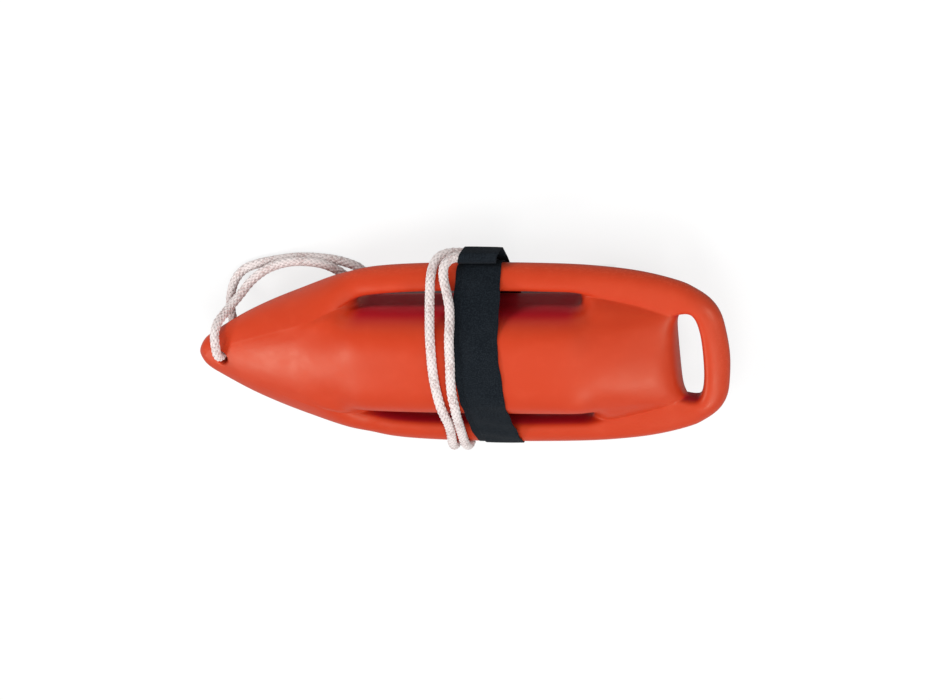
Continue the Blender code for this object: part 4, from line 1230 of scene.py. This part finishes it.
# %% Stitching
STITCH_LENGTH = 0.0032
STITCH_STEP = 0.0040
THREAD_RADIUS = 0.0004
BOX_HALF_WIDTH = 0.018
BOX_TOP = math.radians(-8)
BOX_BOTTOM = math.radians(-20)

strap_tree = surface(strap)[0]


def on_strap(place):
    """The point on the strap's outermost layer, from its place across the strap and its angle round."""
    way = Vector((0, *heading(place[1])))
    start = Vector((STRAP_FROM_NOSE + place[0], 0, 0)) + way * BODY_WIDTH
    return strap_tree.ray_cast(start, -way)[0]


def sew(bm, first, last):
    """A row of stitches between two places on the strap."""
    length = (on_strap(last) - on_strap(first)).length
    count = int(length / STITCH_STEP)
    for k in range(count):
        shares = [(k + 0.5) / count + side * STITCH_LENGTH / 2 / length for side in (-1, 1)]
        start, end = [on_strap(Vector(first).lerp(Vector(last), share)) for share in shares]
        turn = (end - start).to_track_quat("Z", "Y").to_matrix().to_4x4()
        size = Matrix.Diagonal((THREAD_RADIUS, THREAD_RADIUS, STITCH_LENGTH / 2, 1))
        place = Matrix.Translation((start + end) / 2) @ turn @ size
        bmesh.ops.create_uvsphere(bm, u_segments=8, v_segments=6, radius=1, matrix=place)


bm = bmesh.new()
corners = [(-BOX_HALF_WIDTH, BOX_TOP), (BOX_HALF_WIDTH, BOX_TOP), (BOX_HALF_WIDTH, BOX_BOTTOM),
           (-BOX_HALF_WIDTH, BOX_BOTTOM)]
for first, last in ((0, 1), (1, 2), (2, 3), (3, 0), (0, 2), (1, 3)):
    sew(bm, corners[first], corners[last])
thread = grained_plastic("black_thread", (0.020, 0.023, 0.028), 0.6, 4000.0, 0.00004)
finish_piece(mesh_object("strap_stitches", bm), "float", thread, sharp_angle=60)

# %% [markdown]
# ## The floor and the light
#
# The floor is pure white in the picture and yet takes the object's shadow. A floor that is only lit would
# have to be bright enough to turn white everywhere, and would then light the float from below. So it is two
# floors in one: to the camera most of its white is its own and the rest is lit, which leaves room for a
# shadow, while the light that it sends to the object comes from a grey floor. Under the crown the real floor
# is dark, and it shows through the far slot, so there it has no white of its own. It lies as far below the
# strap as the rope's knobs stand out, so that they don't sink into it.

# %% Floor
FLOOR_SIZE = 30.0
LIT_GREY = (0.3, 0.3, 0.3)
OWN_WHITE = 0.80
IN_MIRRORS = 0.30
# from the middle of the slots, half the length and half the width of the dark patch, and its soft edge
DARK_MIDDLE = FROM_FLOAT.x + SLOT_START + SLOT_LENGTH / 2
DARK_LENGTH = SLOT_LENGTH / 2
DARK_WIDTH = 0.058
DARK_EDGE = 0.035


def white_floor():
    """White to the camera, fainter in mirrors, and grey for all other light."""
    finish = Finish("white_floor", LIT_GREY, 0.9)
    rays = finish.add("LightPath", {}, {}).node.outputs
    mirrored = finish.maths("ADD", rays["Is Glossy Ray"], rays["Is Transmission Ray"])
    mirrored = finish.maths("MULTIPLY", mirrored, IN_MIRRORS)
    seen = finish.maths("ADD", rays["Is Camera Ray"], mirrored, clamp=True)
    along, across, _ = finish.split(finish.add("TexCoord", {}, {}, "Object"))
    along = finish.maths("ABSOLUTE", finish.maths("SUBTRACT", along, DARK_MIDDLE))
    along = finish.spread(along, DARK_LENGTH, DARK_LENGTH + DARK_EDGE)
    across = finish.spread(finish.maths("ABSOLUTE", across), DARK_WIDTH, DARK_WIDTH + DARK_EDGE)
    seen = finish.maths("MULTIPLY", seen, finish.maths("MAXIMUM", along, across))
    lit_part = [1.0 - OWN_WHITE] * 3
    finish.shade({"Base Color": finish.blend(seen, LIT_GREY, lit_part)})
    own_part = finish.maths("MULTIPLY", seen, OWN_WHITE)
    finish.shade({"Emission Color": (1, 1, 1, 1), "Emission Strength": own_part})
    finish.shade({"Specular IOR Level": 0.0})
    return finish.material


bm = bmesh.new()
bmesh.ops.create_grid(bm, x_segments=1, y_segments=1, size=FLOOR_SIZE / 2)
bmesh.ops.translate(bm, verts=bm.verts[:], vec=(0, 0, -PLAIT_SWELL))
floor = mesh_object("floor", bm)
floor.data.materials.append(white_floor())
print("floor", PLAIT_SWELL, "m below the strap")

# %% [markdown]
# Soft lamps stand in for a photographer's light boxes. A broad one overhead lights everything, but is kept
# out of reflections, because satin plastic would show it as a grey veil. Small ones at the nose, at the tail
# and on the near side draw the pale highlights on the nose, the crown and the tail's bar, and a low one
# behind the nose brightens the far side and the rope's arc. The world fills the shadows evenly.

# %% Light
WORLD_STRENGTH = 0.22


def soft_lamp(name, place, aim, size, power, mirrored=True):
    """A soft box that looks at a point: size is its width and its height, and power is in watts."""
    lamp = bpy.data.lights.new(name, "AREA")
    lamp.shape = "RECTANGLE"
    lamp.size, lamp.size_y = size
    lamp.energy = power
    obj = scene_object(name, lamp)
    look = (Vector(aim) - Vector(place)).to_track_quat("-Z", "Y")
    obj.matrix_world = Matrix.Translation(Vector(place)) @ look.to_matrix().to_4x4()
    obj.visible_glossy = mirrored
    print(name, power, "W")


soft_lamp("overhead", (0.35, -0.15, 2.4), (0, 0, 0), (2.4, 1.5), 38, mirrored=False)
soft_lamp("nose_side", (-1.5, -0.55, 1.3), (-0.1, 0, 0.05), (0.5, 0.4), 10)
soft_lamp("tail_side", (0.80, -1.25, 1.45), (0.15, 0, 0.05), (0.6, 0.4), 8)
soft_lamp("tail_end", (1.60, 0.15, 1.20), (0.30, 0, 0.05), (0.5, 0.4), 5)
soft_lamp("nose_back", (-0.85, 1.15, 0.55), (-0.28, 0.08, 0.0), (0.6, 0.4), 8, mirrored=False)
world = bpy.data.worlds.new("studio")
bpy.context.scene.world = world
world.use_nodes = True
background = world.node_tree.nodes["Background"].inputs
background["Color"].default_value = (1.0, 1.0, 1.0, 1.0)
background["Strength"].default_value = WORLD_STRENGTH
bpy.context.scene.view_settings.view_transform = "Standard"
